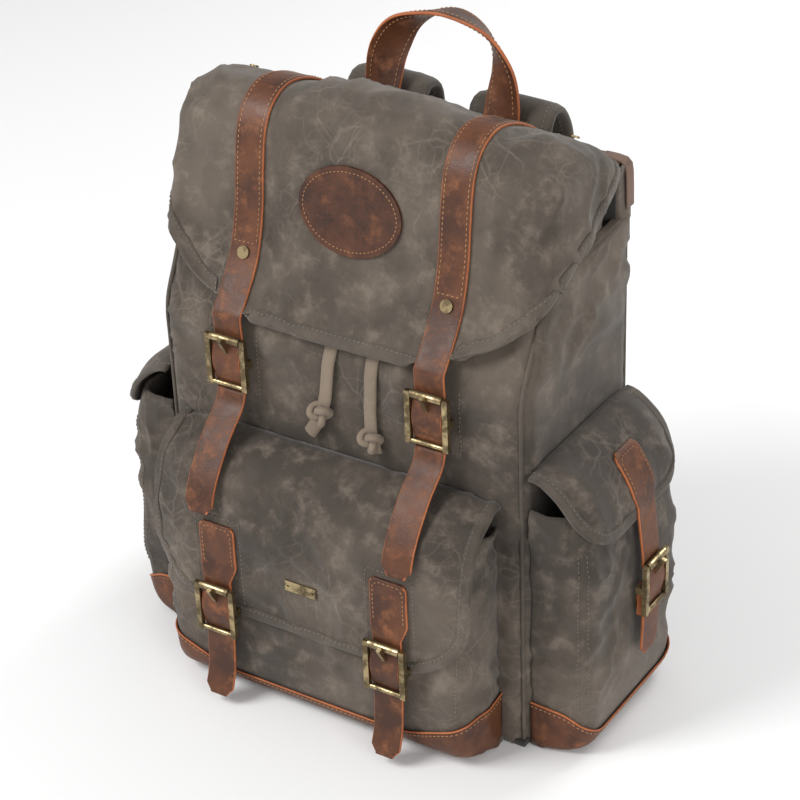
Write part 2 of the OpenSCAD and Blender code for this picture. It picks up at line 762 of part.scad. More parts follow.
front_panel();
back_panel();
side_panels();
base_panel();
base_board();
laptop_divider();
collar();
collar_eyelets();
drawcord_loop();
drawcord_left_tail();
drawcord_right_tail();
drawcord_knots();
front_pocket();
left_pocket();
right_pocket();
pocket_trims();
snap_sockets();
zip_tape();
strap_anchors();
main_flap();
flap_patch();
flap_rivets();
main_strap_left();
main_strap_right();
main_frames();
main_chapes();
main_studs();
main_tails();
main_rollers();
main_prongs();
front_flap();
badge();
front_strap_left();
front_strap_right();
front_frames();
front_chapes();
front_studs();
front_rollers();
front_prongs();
left_flap();
left_strap();
left_frame();
left_chape();
left_roller();
left_prong();
right_flap();
right_strap();
right_frame();
right_chape();
right_roller();
right_prong();
carry_handle();
left_pad();
right_pad();
left_webbing();
right_webbing();
left_slider();
right_slider();
zip_slider();
zip_puller();
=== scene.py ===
# %% [markdown]
# # A canvas travel backpack
#
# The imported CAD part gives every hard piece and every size. This script adds the soft
# pieces (canvas, leather, cord), the materials, the stitching and the studio.
# Everything is in metres: X across the bag, Y from the front (-Y) to the wearer's back,
# Z up from the flat base.

import json
import math

import bmesh
import bpy
from mathutils import Matrix, Vector, noise
from mathutils.bvhtree import BVHTree


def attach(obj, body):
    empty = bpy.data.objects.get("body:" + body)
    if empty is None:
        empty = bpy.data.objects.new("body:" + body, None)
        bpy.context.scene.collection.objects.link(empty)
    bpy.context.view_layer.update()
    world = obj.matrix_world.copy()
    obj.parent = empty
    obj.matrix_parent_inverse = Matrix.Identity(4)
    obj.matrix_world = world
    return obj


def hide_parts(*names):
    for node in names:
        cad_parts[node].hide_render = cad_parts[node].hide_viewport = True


noise.seed_set(7)

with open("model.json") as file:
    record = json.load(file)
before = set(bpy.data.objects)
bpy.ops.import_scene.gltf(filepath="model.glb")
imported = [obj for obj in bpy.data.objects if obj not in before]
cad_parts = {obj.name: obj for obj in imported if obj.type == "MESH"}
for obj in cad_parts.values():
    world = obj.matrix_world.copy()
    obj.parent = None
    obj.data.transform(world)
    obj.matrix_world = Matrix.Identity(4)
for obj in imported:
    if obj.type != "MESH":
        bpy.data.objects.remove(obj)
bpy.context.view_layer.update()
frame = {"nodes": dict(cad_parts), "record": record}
nodes = frame["nodes"]
scene = bpy.context.scene
print("nodes:", len(nodes))

# %% [markdown]
# ## Camera
#
# A bag shows itself best from its front corner and a little above, where the front, one side
# and the top flap are all in view. The camera could be placed by hand. Angles and a distance
# are used instead, because they can be read again: how far round, how far up, and how much
# the horizon leans. The long lens keeps the bag's sides nearly parallel.

# %% Camera
AZIMUTH, ELEVATION, ROLL = math.radians(33.5), math.radians(30.5), math.radians(-2.3)
DISTANCE, LENS = 1.851, 107.9
right = Vector((math.cos(AZIMUTH), math.sin(AZIMUTH), 0))
up = Vector((-math.sin(AZIMUTH) * math.sin(ELEVATION), math.cos(AZIMUTH) * math.sin(ELEVATION),
             math.cos(ELEVATION)))
back = right.cross(up)
target = Vector((0, 0.008, 0.216)) - 0.0011 * right
camera = bpy.data.objects.new("camera", bpy.data.cameras.new("camera"))
scene.collection.objects.link(camera)
camera.data.lens = LENS
camera.data.sensor_width = 36
camera.location = target + DISTANCE * back
turned = Matrix((math.cos(ROLL) * right + math.sin(ROLL) * up,
                 -math.sin(ROLL) * right + math.cos(ROLL) * up, back)).transposed()
camera.rotation_mode = "QUATERNION"
camera.rotation_quaternion = turned.to_quaternion()
scene.camera = camera
print("camera stands at", [round(v, 3) for v in camera.location])

# %% [markdown]
# ## Curves
#
# Leather and canvas bend in smooth lines, so their side views are a few points with a smooth
# curve through them. Blender's curve objects could draw these, but the points are also needed
# as numbers for sewing. So the curve is worked out here, and it passes through every point,
# which keeps the cloth on the CAD part's profiles.

# %% Curves
def smooth(points, n=4):
    """The smooth curve through all points, with n steps between neighbours."""
    p = [Vector(q) for q in points]
    last = len(p) - 1
    out = []
    for i in range(last):
        a, b, c, d = p[max(i - 1, 0)], p[i], p[i + 1], p[min(i + 2, last)]
        for k in range(n):
            t = k / n
            out.append(0.5 * (2 * b + (c - a) * t + (2 * a - 5 * b + 4 * c - d) * t * t
                              + (3 * b - a - 3 * c + d) * t ** 3))
    return out + [p[last]]


def tangent(p, i):
    return (p[min(i + 1, len(p) - 1)] - p[max(i - 1, 0)]).normalized()


def beside(p, d):
    """A curve of (y, z) points moved outward by d."""
    return [p[i] + d * Vector((tangent(p, i)[1], -tangent(p, i)[0])) for i in range(len(p))]


def resampled(points, step):
    """The same line with evenly spaced points."""
    length = [0]
    for a, b in zip(points, points[1:]):
        length.append(length[-1] + (b - a).length)
    count = max(2, round(length[-1] / step))
    out, j = [], 0
    for k in range(count + 1):
        s = length[-1] * k / count
        while j < len(points) - 2 and length[j + 1] < s:
            j += 1
        span = max(length[j + 1] - length[j], 1e-9)
        out.append(points[j].lerp(points[j + 1], (s - length[j]) / span))
    return out


print("a curve of 3 points gets", len(smooth([(0, 0), (1, 1), (2, 0)])))

# %% [markdown]
# ## The drawcord's route
#
# The cord that shuts the bag's mouth leaves two eyelets and hangs down the front, partly
# under the flap. A simulation could drop it. It lies flat on the panel all the way, though,
# so a listed route gives the same lie and keeps its length known.

# %% Cords
# The CAD part follows the same points.
TAIL_W, TAIL_T = 0.011, 0.004
TAILS = {
    "left": [(-.002, -.032, .412), (-.002, -.036, .411), (-.002, -.0385, .405), (-.002, -.039, .395),
             (-.002, -.040, .385), (-.002, -.044, .374), (-.002, -.049, .363), (-.002, -.054, .352),
             (-.002, -.060, .340), (-.002, -.066, .328), (-.002, -.0732, .315), (-.002, -.0798, .303),
             (-.003, -.083, .292), (-.004, -.084, .280), (-.006, -.084, .265), (-.010, -.084, .250),
             (-.015, -.084, .240), (-.022, -.084, .229)],
    "right": [(.034, -.032, .412), (.034, -.036, .411), (.034, -.0385, .405), (.034, -.039, .395),
              (.034, -.040, .385), (.034, -.044, .374), (.034, -.049, .363), (.034, -.054, .352),
              (.034, -.060, .340), (.034, -.066, .328), (.034, -.0732, .315), (.034, -.0798, .303),
              (.034, -.083, .292), (.034, -.084, .280), (.033, -.084, .265), (.033, -.084, .250),
              (.034, -.084, .240), (.037, -.084, .229)],
}
print("points on the tails:", {side: len(route) for side, route in TAILS.items()})

# %% [markdown]
# ## Materials
#
# Every finish is built from Blender's procedural textures, which need no unwrapping and show
# no seam. They read object coordinates, which are the bag's own metres, so a thread stays one
# size on a large panel and on a small tab. These helpers make and link nodes with less
# writing.

# %% Node helpers
def new_group(name, inputs, outputs):
    g = bpy.data.node_groups.new(name, "ShaderNodeTree")
    for label, kind, value in inputs:
        s = g.interface.new_socket(label, in_out="INPUT", socket_type=kind)
        if value is not None:
            s.default_value = value
    for label, kind in outputs:
        g.interface.new_socket(label, in_out="OUTPUT", socket_type=kind)
    return g, g.nodes.new("NodeGroupInput"), g.nodes.new("NodeGroupOutput")


def add(tree, kind, sockets=None, **settings):
    """A node with its settings, and values or links for its inputs."""
    n = tree.nodes.new(kind)
    for k, v in settings.items():
        setattr(n, k, v)
    for k, v in (sockets or {}).items():
        if isinstance(v, bpy.types.NodeSocket):
            tree.links.new(v, n.inputs[k])
        else:
            n.inputs[k].default_value = v
    return n


def math_node(tree, operation, a, b=0.0):
    return add(tree, "ShaderNodeMath", {0: a, 1: b}, operation=operation).outputs[0]


def ramp(tree, factor, low, high, out_low=0.0, out_high=1.0):
    """factor mapped from low..high to out_low..out_high, with soft ends."""
    n = add(tree, "ShaderNodeMapRange", {"Value": factor, "From Min": low, "From Max": high,
                                         "To Min": out_low, "To Max": out_high})
    n.interpolation_type = "SMOOTHSTEP"
    return n.outputs["Result"]


def mix_color(tree, factor, a, b, blend="MIX"):
    n = tree.nodes.new("ShaderNodeMix")
    n.data_type, n.blend_type, n.clamp_factor = "RGBA", blend, True
    for socket, v in ((n.inputs[0], factor), (n.inputs[6], a), (n.inputs[7], b)):
        if isinstance(v, bpy.types.NodeSocket):
            tree.links.new(v, socket)
        else:
            socket.default_value = v
    return n.outputs[2]


print("node helpers ready")

# %% [markdown]
# ### Weave, creases and grain
#
# Three effects come back in several finishes: crossed threads, thin pale cracks where wax was
# bent, and the pores of leather. A node group holds each one once. The weave is two sine
# waves multiplied, the cracks are edges of cells that noise has bent, and the grain adds
# pores to a fine noise.

# %% Shared effects
weave, weave_in, weave_out = new_group(
    "weave", [("Pitch", "NodeSocketFloat", 0.0011)], [("Height", "NodeSocketFloat")])
place = add(weave, "ShaderNodeTexCoord").outputs["Object"]
split = add(weave, "ShaderNodeSeparateXYZ", {0: place})
turns = math_node(weave, "DIVIDE", 2 * math.pi, weave_in.outputs["Pitch"])
side = math_node(weave, "ADD", split.outputs["X"], split.outputs["Y"])
warp = math_node(weave, "SINE", math_node(weave, "MULTIPLY", side, turns))
weft = math_node(weave, "SINE", math_node(weave, "MULTIPLY", split.outputs["Z"], turns))
slub = add(weave, "ShaderNodeTexNoise", {"Vector": place, "Scale": 900.0, "Detail": 2.0})
crossed = math_node(weave, "ADD", math_node(weave, "MULTIPLY", warp, weft), slub.outputs[0])
weave.links.new(crossed, weave_out.inputs[0])

crease, crease_in, crease_out = new_group(
    "crease", [("Scale", "NodeSocketFloat", 26.0), ("Width", "NodeSocketFloat", 0.05)],
    [("Line", "NodeSocketFloat"), ("Soft", "NodeSocketFloat")])
place = add(crease, "ShaderNodeTexCoord").outputs["Object"]
bent = add(crease, "ShaderNodeTexNoise", {"Vector": place, "Scale": 14.0, "Detail": 3.0})
moved = add(crease, "ShaderNodeVectorMath", {0: bent.outputs["Color"], 1: (0.055, 0.055, 0.055)},
            operation="MULTIPLY")
shifted = add(crease, "ShaderNodeVectorMath", {0: place, 1: moved.outputs[0]}, operation="ADD")
cells = add(crease, "ShaderNodeTexVoronoi", {"Vector": shifted.outputs[0],
                                             "Scale": crease_in.outputs["Scale"]},
            feature="DISTANCE_TO_EDGE")
near = math_node(crease, "DIVIDE", cells.outputs["Distance"], crease_in.outputs["Width"])
line = ramp(crease, near, 0.0, 1.0, 1.0, 0.0)
patchy = add(crease, "ShaderNodeTexNoise", {"Vector": place, "Scale": 12.0, "Detail": 4.0})
some = ramp(crease, patchy.outputs[0], 0.46, 0.66)
crease.links.new(math_node(crease, "MULTIPLY", line, some), crease_out.inputs["Line"])
crease.links.new(patchy.outputs[0], crease_out.inputs["Soft"])

grain, grain_in, grain_out = new_group(
    "grain", [("Scale", "NodeSocketFloat", 700.0)], [("Height", "NodeSocketFloat")])
place = add(grain, "ShaderNodeTexCoord").outputs["Object"]
pores = add(grain, "ShaderNodeTexVoronoi", {"Vector": place, "Scale": grain_in.outputs["Scale"]})
fine = add(grain, "ShaderNodeTexNoise", {"Vector": place, "Scale": 260.0, "Detail": 4.0})
grain.links.new(math_node(grain, "ADD", pores.outputs["Distance"], fine.outputs[0]), grain_out.inputs[0])


def use(tree, group, **sockets):
    n = tree.nodes.new("ShaderNodeGroup")
    n.node_tree = group
    for k, v in sockets.items():
        n.inputs[k].default_value = v
    return n


def new_material(name):
    m = bpy.data.materials.new(name)
    m.use_nodes = True
    return m, m.node_tree, m.node_tree.nodes["Principled BSDF"]


print("effects:", [group.name for group in bpy.data.node_groups])

# %% [markdown]
# ### Canvas, cord and lining
#
# Waxed canvas is dark where the wax is thick and pale in clouds where it was handled. Color
# and height come from the same noises, so a pale mark is a raised one too, as on the real
# cloth. Other colors and thread sizes in the same recipe give binding, webbing, lining, cord
# and thread.

# %% Canvas, cord and lining
def canvas(name, dark, base, pale, pitch=0.0011, marks=1.0, rough=0.78):
    """Waxed canvas: a woven ground with paler bloom where it has been creased."""
    m, t, shader = new_material(name)
    place = add(t, "ShaderNodeTexCoord").outputs["Object"]
    broad = add(t, "ShaderNodeTexNoise", {"Vector": place, "Scale": 7.0, "Detail": 6.0, "Roughness": 0.62})
    mottled = add(t, "ShaderNodeTexNoise", {"Vector": place, "Scale": 55.0, "Detail": 5.0, "Roughness": 0.7})
    cracked = use(t, crease, Scale=24.0, Width=0.030)
    fine = use(t, crease, Scale=62.0, Width=0.05)
    threads = use(t, weave, Pitch=pitch)
    ground = mix_color(t, ramp(t, broad.outputs[0], 0.36, 0.66), (*dark, 1), (*base, 1))
    ground = mix_color(t, ramp(t, mottled.outputs[0], 0.46, 0.76, 0.0, 0.40 * marks), ground, (*pale, 1))
    ground = mix_color(t, math_node(t, "MULTIPLY", cracked.outputs["Line"], 0.20 * marks),
                       ground, (*pale, 1))
    ground = mix_color(t, math_node(t, "MULTIPLY", fine.outputs["Line"], 0.16 * marks), ground, (*pale, 1))
    height = math_node(t, "MULTIPLY", threads.outputs[0], 0.10)
    height = math_node(t, "ADD", height, math_node(t, "MULTIPLY", mottled.outputs[0], 0.5))
    height = math_node(t, "SUBTRACT", height, math_node(t, "MULTIPLY", cracked.outputs["Line"], 0.35))
    bump = add(t, "ShaderNodeBump", {"Height": height, "Strength": 0.55, "Distance": 0.0012})
    t.links.new(ground, shader.inputs["Base Color"])
    t.links.new(bump.outputs[0], shader.inputs["Normal"])
    t.links.new(ramp(t, mottled.outputs[0], 0.3, 0.7, rough - 0.1, rough + 0.08), shader.inputs["Roughness"])
    shader.inputs["Specular IOR Level"].default_value = 0.28
    shader.inputs["Sheen Weight"].default_value = 0.12
    return m


WAXED = canvas("waxed_canvas", (0.041, 0.032, 0.0245), (0.108, 0.085, 0.065), (0.258, 0.210, 0.168))
BINDING = canvas("hem_binding", (0.054, 0.043, 0.033), (0.100, 0.081, 0.063), (0.22, 0.184, 0.147),
                 0.0016, 0.6)
DARK = canvas("base_canvas", (0.040, 0.036, 0.031), (0.062, 0.056, 0.049), (0.13, 0.118, 0.1), marks=0.6)
PADDING = canvas("pad_canvas", (0.048, 0.039, 0.030), (0.085, 0.070, 0.055), (0.19, 0.162, 0.13), marks=0.7)
WEBBING = canvas("webbing", (0.036, 0.033, 0.029), (0.058, 0.053, 0.047), (0.1, 0.092, 0.08), 0.0022, 0.3)
LINING = canvas("lining", (0.030, 0.028, 0.025), (0.044, 0.041, 0.037), (0.07, 0.066, 0.06), marks=0.2)
ZIP_TAPE = canvas("zip_tape", (0.10, 0.055, 0.038), (0.15, 0.085, 0.058), (0.2, 0.12, 0.09), 0.0013, 0.3)
CORD = canvas("drawcord", (0.165, 0.127, 0.093), (0.225, 0.176, 0.130), (0.30, 0.245, 0.19),
              0.0018, 0.4, 0.85)
THREAD = canvas("thread", (0.13, 0.115, 0.095), (0.19, 0.17, 0.14), (0.28, 0.25, 0.21), 0.0006, 0.2)
TAN_THREAD = canvas("tan_thread", (0.30, 0.15, 0.065), (0.42, 0.22, 0.10), (0.5, 0.3, 0.16), 0.0006, 0.2)
print("cloth finishes:", len(bpy.data.materials))

# %% [markdown]
# ### Leather
#
# Pull-up leather is full of oil: dark and even at first, lighter and redder where it is bent
# or rubbed. A broad noise gives the tone, a second one the rubbed clouds and fine creases the
# scratches. A cut edge is bare hide, so it has a paler and rougher finish of its own.

# %% Leather
def leather(name, dark, base, pulled, rough=0.42):
    """Oiled pull-up leather: it turns lighter where it bends, and shows its grain."""
    m, t, shader = new_material(name)
    place = add(t, "ShaderNodeTexCoord").outputs["Object"]
    broad = add(t, "ShaderNodeTexNoise", {"Vector": place, "Scale": 21.0, "Detail": 6.0, "Roughness": 0.66})
    cloudy = add(t, "ShaderNodeTexNoise", {"Vector": place, "Scale": 60.0, "Detail": 5.0, "Roughness": 0.7})
    scratched = use(t, crease, Scale=95.0, Width=0.05)
    pores = use(t, grain, Scale=900.0)
    ground = mix_color(t, ramp(t, broad.outputs[0], 0.36, 0.62), (*dark, 1), (*base, 1))
    ground = mix_color(t, ramp(t, cloudy.outputs[0], 0.50, 0.74, 0.0, 0.75), ground, (*pulled, 1))
    ground = mix_color(t, math_node(t, "MULTIPLY", scratched.outputs["Line"], 0.16), ground, (*pulled, 1))
    height = math_node(t, "ADD", math_node(t, "MULTIPLY", pores.outputs[0], 0.35), broad.outputs[0])
    bump = add(t, "ShaderNodeBump", {"Height": height, "Strength": 0.35, "Distance": 0.0008})
    t.links.new(ground, shader.inputs["Base Color"])
    t.links.new(bump.outputs[0], shader.inputs["Normal"])
    t.links.new(ramp(t, cloudy.outputs[0], 0.3, 0.7, rough, rough + 0.18), shader.inputs["Roughness"])
    shader.inputs["Specular IOR Level"].default_value = 0.36
    return m


LEATHER = leather("leather", (0.046, 0.0165, 0.008), (0.105, 0.036, 0.0145), (0.24, 0.088, 0.034))
LEATHER_EDGE = leather("leather_edge", (0.30, 0.085, 0.028), (0.42, 0.13, 0.045), (0.52, 0.19, 0.075), 0.5)
PATCH_LEATHER = leather("patch_leather", (0.030, 0.011, 0.006), (0.070, 0.024, 0.0105), (0.16, 0.058, 0.024))
print("leather finishes:", LEATHER.name, LEATHER_EDGE.name, PATCH_LEATHER.name)

# %% [markdown]
# ### Antique brass
#
# The buckles and rivets are brass that was darkened and then rubbed bright. One noise sets
# both color and roughness, since dark patina is also dull. A painted map could place the wear
# exactly, but on pieces this small the noise reads the same. Then every CAD piece gets the
# finish that its record names.

# %% Antique brass
def brass(name):
    m, t, shader = new_material(name)
    place = add(t, "ShaderNodeTexCoord").outputs["Object"]
    broad = add(t, "ShaderNodeTexNoise", {"Vector": place, "Scale": 90.0, "Detail": 5.0, "Roughness": 0.65})
    fine = add(t, "ShaderNodeTexNoise", {"Vector": place, "Scale": 900.0, "Detail": 3.0})
    patina = ramp(t, broad.outputs[0], 0.40, 0.62)
    ground = mix_color(t, patina, (0.14, 0.105, 0.058, 1), (0.44, 0.345, 0.19, 1))
    bump = add(t, "ShaderNodeBump", {"Height": fine.outputs[0], "Strength": 0.15, "Distance": 0.0004})
    t.links.new(ground, shader.inputs["Base Color"])
    t.links.new(bump.outputs[0], shader.inputs["Normal"])
    t.links.new(ramp(t, patina, 0.0, 1.0, 0.52, 0.30), shader.inputs["Roughness"])
    shader.inputs["Metallic"].default_value = 1.0
    return m


BRASS = brass("antique_brass")

SLOT_MATERIAL = {"waxed_canvas": WAXED, "base_canvas": DARK, "webbing": WEBBING, "lining": LINING,
                 "board": LINING, "drawcord": CORD, "zip_tape": ZIP_TAPE, "leather": LEATHER,
                 "antique_brass": BRASS}
for part in frame["record"]["subparts"]:
    node = nodes[part["node"]]
    node.data.materials.clear()
    node.data.materials.append(SLOT_MATERIAL[part["material_slot"]])
nodes["flap_patch"].data.materials[0] = PATCH_LEATHER
print("materials:", len(bpy.data.materials))

# %% [markdown]
# ## Drawcord tails
#
# The cord is a flat braid that ends in an overhand knot. A curve with an oval bevel gives an
# even section along any route, and turns into a plain mesh at once. The knot follows one turn
# of a trefoil, the line that such a knot takes when it is pulled, pressed flat on the bag.

# %% Tubes along points
def tube(name, points, width, thick, material, body, sides=10):
    """A soft cord with an oval section along points, its wide side across X."""
    curve = bpy.data.curves.new(name, "CURVE")
    curve.dimensions = "3D"
    section = bpy.data.curves.new(name + "_section", "CURVE")
    section.dimensions = "2D"
    oval = section.splines.new("POLY")
    oval.points.add(sides - 1)
    for k in range(sides):
        a = 2 * math.pi * k / sides
        oval.points[k].co = (width / 2 * math.cos(a), thick / 2 * math.sin(a), 0, 1)
    oval.use_cyclic_u = True
    shape = bpy.data.objects.new(name + "_section", section)
    scene.collection.objects.link(shape)
    line = curve.splines.new("POLY")
    line.points.add(len(points) - 1)
    for k, p in enumerate(points):
        line.points[k].co = (*p, 1)
    curve.bevel_mode, curve.bevel_object, curve.use_fill_caps = "OBJECT", shape, True
    drawn = bpy.data.objects.new(name + "_line", curve)
    scene.collection.objects.link(drawn)
    bpy.context.view_layer.update()
    mesh = bpy.data.meshes.new_from_object(drawn.evaluated_get(bpy.context.evaluated_depsgraph_get()))
    bpy.data.objects.remove(drawn)
    bpy.data.objects.remove(shape)
    mesh.name = name
    mesh.materials.clear()
    mesh.materials.append(material)
    for face in mesh.polygons:
        face.use_smooth = True
    made = bpy.data.objects.new(name, mesh)
    scene.collection.objects.link(made)
    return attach(made, body)


def length_of(points):
    return sum((b - a).length for a, b in zip(points, points[1:]))


def overhand_knot(name, centre, radius):
    """A flat overhand knot: a tube along one turn of a trefoil, pressed flat."""
    line = []
    for k in range(61):
        a = 2 * math.pi * k / 60
        line.append(Vector((centre[0] + radius * 0.36 * (math.sin(a) + 2 * math.sin(2 * a)) / 1.6,
                            centre[1] + radius * 0.30 * math.sin(3 * a),
                            centre[2] + radius * 0.36 * (math.cos(a) - 2 * math.cos(2 * a)) / 1.6)))
    return tube(name, line, 0.0062, 0.0058, CORD, "bag")


for side, route in TAILS.items():
    route = [Vector(p) for p in route]
    tail = tube(f"{side}_tail", route, TAIL_W, TAIL_T, CORD, "bag", 12)
    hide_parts(f"drawcord_{side}_tail")
    tie = route[15 if side == "left" else 16]
    knot = overhand_knot(f"{side}_knot", (tie.x, -0.0865, tie.z), 0.0115)
    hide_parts("drawcord_knots")
print("cords:", len(TAILS))

# %% [markdown]
# ## Places on the bag
#
# The straps are sewn where the CAD part has them, so the cloth has to know where they run.
# The distances could stand in each formula. They are named once here, and both the flat
# places in the cloth and the stitches use them.

# %% Places that the cloth and the straps share
FRONT_Y, SIDE_X = -0.080, 0.160         # the body's front and side faces
MAIN_X, POCKET_X = 0.088, 0.077         # the middles of the main and front pocket straps
SIDE_Y = 0.004                          # the middle of the side pocket straps
CORD_X, PATCH_Z = 0.016, 0.402          # between the drawcord's tails, and the patch's middle
FLAP_T, POCKET_T = 0.0024, 0.0024       # doubled canvas
STRAP_T, PATCH_T, SEWN_GAP = 0.0024, 0.0020, 0.0001
STRAP_W, STITCH_IN = 0.025, 0.0098      # a strap's width, and from its middle to its stitches
RIVET_X, RIVET_Y = 0.138, 0.031         # the flap's corner rivets
print("straps at", MAIN_X, POCKET_X, SIDE_Y)

# %% [markdown]
# ## Cloth
#
# Every soft panel is a grid of points over a surface, crumpled a little by noise and then
# given its thickness. A cloth simulation would fold it too, but it would also pull it off the
# straps that are sewn on it. Here a mask keeps the cloth flat wherever something is sewn.
# Each finished surface is kept in a search tree, so stitches can be laid on it later.

# %% Grids over a surface
SURFACE = {}


def blend_to(a, b, x):
    """0 below a, 1 above b, smooth between."""
    t = min(max((x - a) / (b - a), 0), 1)
    return t * t * (3 - 2 * t)


def new_piece(name, made, material):
    """A finished bmesh as a smoothly shaded object with one material."""
    mesh = bpy.data.meshes.new(name)
    made.to_mesh(mesh)
    made.free()
    for face in mesh.polygons:
        face.use_smooth = True
    mesh.materials.append(material)
    piece = bpy.data.objects.new(name, mesh)
    scene.collection.objects.link(piece)
    return piece


def crumple(p, amount):
    """How far the cloth stands out at p: long soft folds, and sharper creases."""
    q = Vector((p.x * 13, p.y * 13, p.z * 17))
    soft = noise.fractal(q, 1.0, 2.0, 3)
    bent = q + 0.6 * noise.noise_vector(q * 0.8)
    sharp = (1 - abs(noise.noise(bent * 2.3))) ** 4
    return amount * (0.75 * soft + 0.9 * (sharp - 0.32))


def grid_mesh(rows, outward, crumpled=0.0, mask=None):
    """A mesh through rows of points, its faces turned to the outward hint."""
    height, width = len(rows), len(rows[0])
    made = bmesh.new()
    bmesh.ops.create_grid(made, x_segments=width - 1, y_segments=height - 1, size=0.5)
    for v in made.verts:
        i = round((v.co.y + 0.5) * (height - 1))
        j = round((v.co.x + 0.5) * (width - 1))
        v.co = rows[i][j]
    made.normal_update()
    facing = sum(f.normal.dot(outward(f.calc_center_median())) for f in made.faces)
    if facing < 0:
        bmesh.ops.reverse_faces(made, faces=made.faces)
        made.normal_update()
    if crumpled:
        moved = [(v, v.co + v.normal * crumple(v.co, crumpled) * (mask(v.co) if mask else 1))
                 for v in made.verts]
        for v, p in moved:
            v.co = p
    return made


def cloth(name, rows, outward, material, body, thick, crumpled=0.0, mask=None, instead=()):
    """A cloth or leather piece whose outer face goes through rows of points."""
    made = grid_mesh(rows, outward, crumpled, mask)
    made.normal_update()
    SURFACE[name] = BVHTree.FromBMesh(made)
    piece = new_piece(name, made, material)
    shell = piece.modifiers.new("thickness", "SOLIDIFY")
    shell.thickness, shell.offset, shell.use_even_offset = thick, -1, False
    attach(piece, body)
    if instead:
        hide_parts(*instead)
    return piece


def on(name, p):
    """The point of a finished cloth surface nearest to p, and the way out from it."""
    place, normal, _, _ = SURFACE[name].find_nearest(p)
    return place, normal


def mirrored(rows):
    return [[Vector((-p.x, p.y, p.z)) for p in row] for row in rows]


def yz(curve):
    """The CAD part's [depth, height] curves, in metres."""
    return [Vector((y / 1000, z / 1000)) for y, z in curve]


print("a point under a full crumple of 4 mm moves", round(crumple(Vector((0.1, 0, 0.2)), 0.004), 5))

# %% [markdown]
# ### The main flap
#
# The big flap is sewn at the back, comes over the top and hangs in front, its corners drawn
# in by its own weight. It could be sculpted. A net of eleven lines is used, because its
# middle then follows the CAD part's curve exactly and only the sides are shaped freely.

# %% The main flap
flap_curve = smooth(yz([(58, 433), (44, 446), (18, 461), (-8, 467.5), (-27, 461), (-38.5, 444),
                        (-44, 415), (-48, 385), (-57.5, 352), (-72.5, 328), (-86, 311)]))
flap_face = beside(flap_curve, FLAP_T)
# Each row: (x, out of the curve's y, out of its z) from the middle to the strap, then the
# free edge, and last the hem as a place of its own
FLAP_NET = [
    [(0, 0, 3), (40, 0, 2), (72, 0, 0), (106, 0, 0), (150, 0, -2), (158, 0, -5), (160, 59, 425)],
    [(0, 0, 7), (40, 0, 5), (72, 0, 0), (118, 0, 0), (148, 0, -2), (162, 0, -14), (165, 44, 418)],
    [(0, 0, 9), (40, 0, 6), (72, 0, 0), (118, 0, 0), (148, 0, -3), (164, 0, -20), (167, 15, 404)],
    [(0, 0, 9), (40, 0, 6), (72, 0, 0), (112, 0, 0), (149, 1, -6), (165, 1, -26), (168, -10, 391)],
    [(0, -2, 5), (40, -1, 3), (72, 0, 0), (106, 0, 0), (150, 4, -8), (164, 4, -27), (167, -28, 379)],
    [(0, 0, 0), (40, 0, 0), (72, 0, 0), (106, 0, 0), (148, 3, -5), (161, 3, -22), (165, -42, 370)],
    [(0, 0, 0), (40, 0, 0), (72, 0, 0), (106, 0, 0), (144, 1, -5), (157, 1, -17), (162, -53, 363)],
    [(0, 0, 0), (40, 0, 0), (72, 0, 0), (106, 0, 0), (138, -1, -6), (150, -3, -14), (157, -62, 357)],
    [(0, 0, 0), (40, 0, 0), (72, 0, 0), (100, 0, 0), (125, -1, -1), (138, -3, -2), (147, -67, 349)],
    [(0, 0, 0), (34, 0, 0), (62, 0, 0), (82, 0, 0), (100, 0, 1), (112, -1, 2), (122, -77, 334)],
    [(0, 0, 0), (18, 0, 0), (34, 0, 0), (48, 0, 1), (60, 0, 1), (70, 0.5, 3), (80, -83, 318)],
]


def flap_rows(net, face, step, across):
    lines = []
    for i, row in enumerate(net):
        y, z = face[4 * i]
        points = [Vector((x / 1000, y + dy / 1000, z + dz / 1000)) for x, dy, dz in row[:-1]]
        points.append(Vector(row[-1]) / 1000)
        lines.append(evenly(smooth(points, 8), across))
    columns = [smooth([line[j] for line in lines], step) for j in range(across + 1)]
    half = [[column[i] for column in columns] for i in range(len(columns[0]))]
    return [[Vector((-p.x, p.y, p.z)) for p in reversed(row[1:])] + row for row in half]


def evenly(points, count):
    """The line cut into count equal parts."""
    total = length_of(points)
    return resampled(points, total / count) if total > 0 else [points[0]] * (count + 1)


def near_strap(x, at, half=0.0135, soft=0.008):
    """1 away from a strap at +-at, 0 under it."""
    return blend_to(half, half + soft, abs(abs(x) - at))


def flap_mask(p):
    oval = math.hypot(p.x / 0.050, (p.z - PATCH_Z) / 0.039) if p.y < 0 else 9
    rivet = math.hypot(abs(p.x) - RIVET_X, p.y - RIVET_Y)
    seam = 1 - 0.9 * blend_to(0.022, 0.042, p.y)
    return near_strap(p.x, MAIN_X) * blend_to(1.0, 1.25, oval) * blend_to(0.006, 0.014, rivet) * seam


main_flap_rows = flap_rows(FLAP_NET, flap_face, 7, 62)
cloth("flap_canvas", main_flap_rows, lambda c: Vector((c.x * 0.6, c.y - 0.02, c.z - 0.36)), WAXED,
      "main_flap", FLAP_T, 0.0042, flap_mask, ["main_flap"])
print("main flap:", len(main_flap_rows), "rows of", len(main_flap_rows[0]), "points")

# %% [markdown]
# ### Pocket flaps
#
# The three pocket flaps are one pattern: a straight seam, a bent profile and a lip with round
# corners. One function cuts them all. Their side edges droop a little, because only the strap
# in the middle holds them.

# %% Pocket flaps
def lip_half(z, lip, half, r):
    """Half the flap's width at height z above its rounded lip."""
    if z > lip + r:
        return half
    return half - r + math.sqrt(max(r * r - (lip + r - z) ** 2, 0))


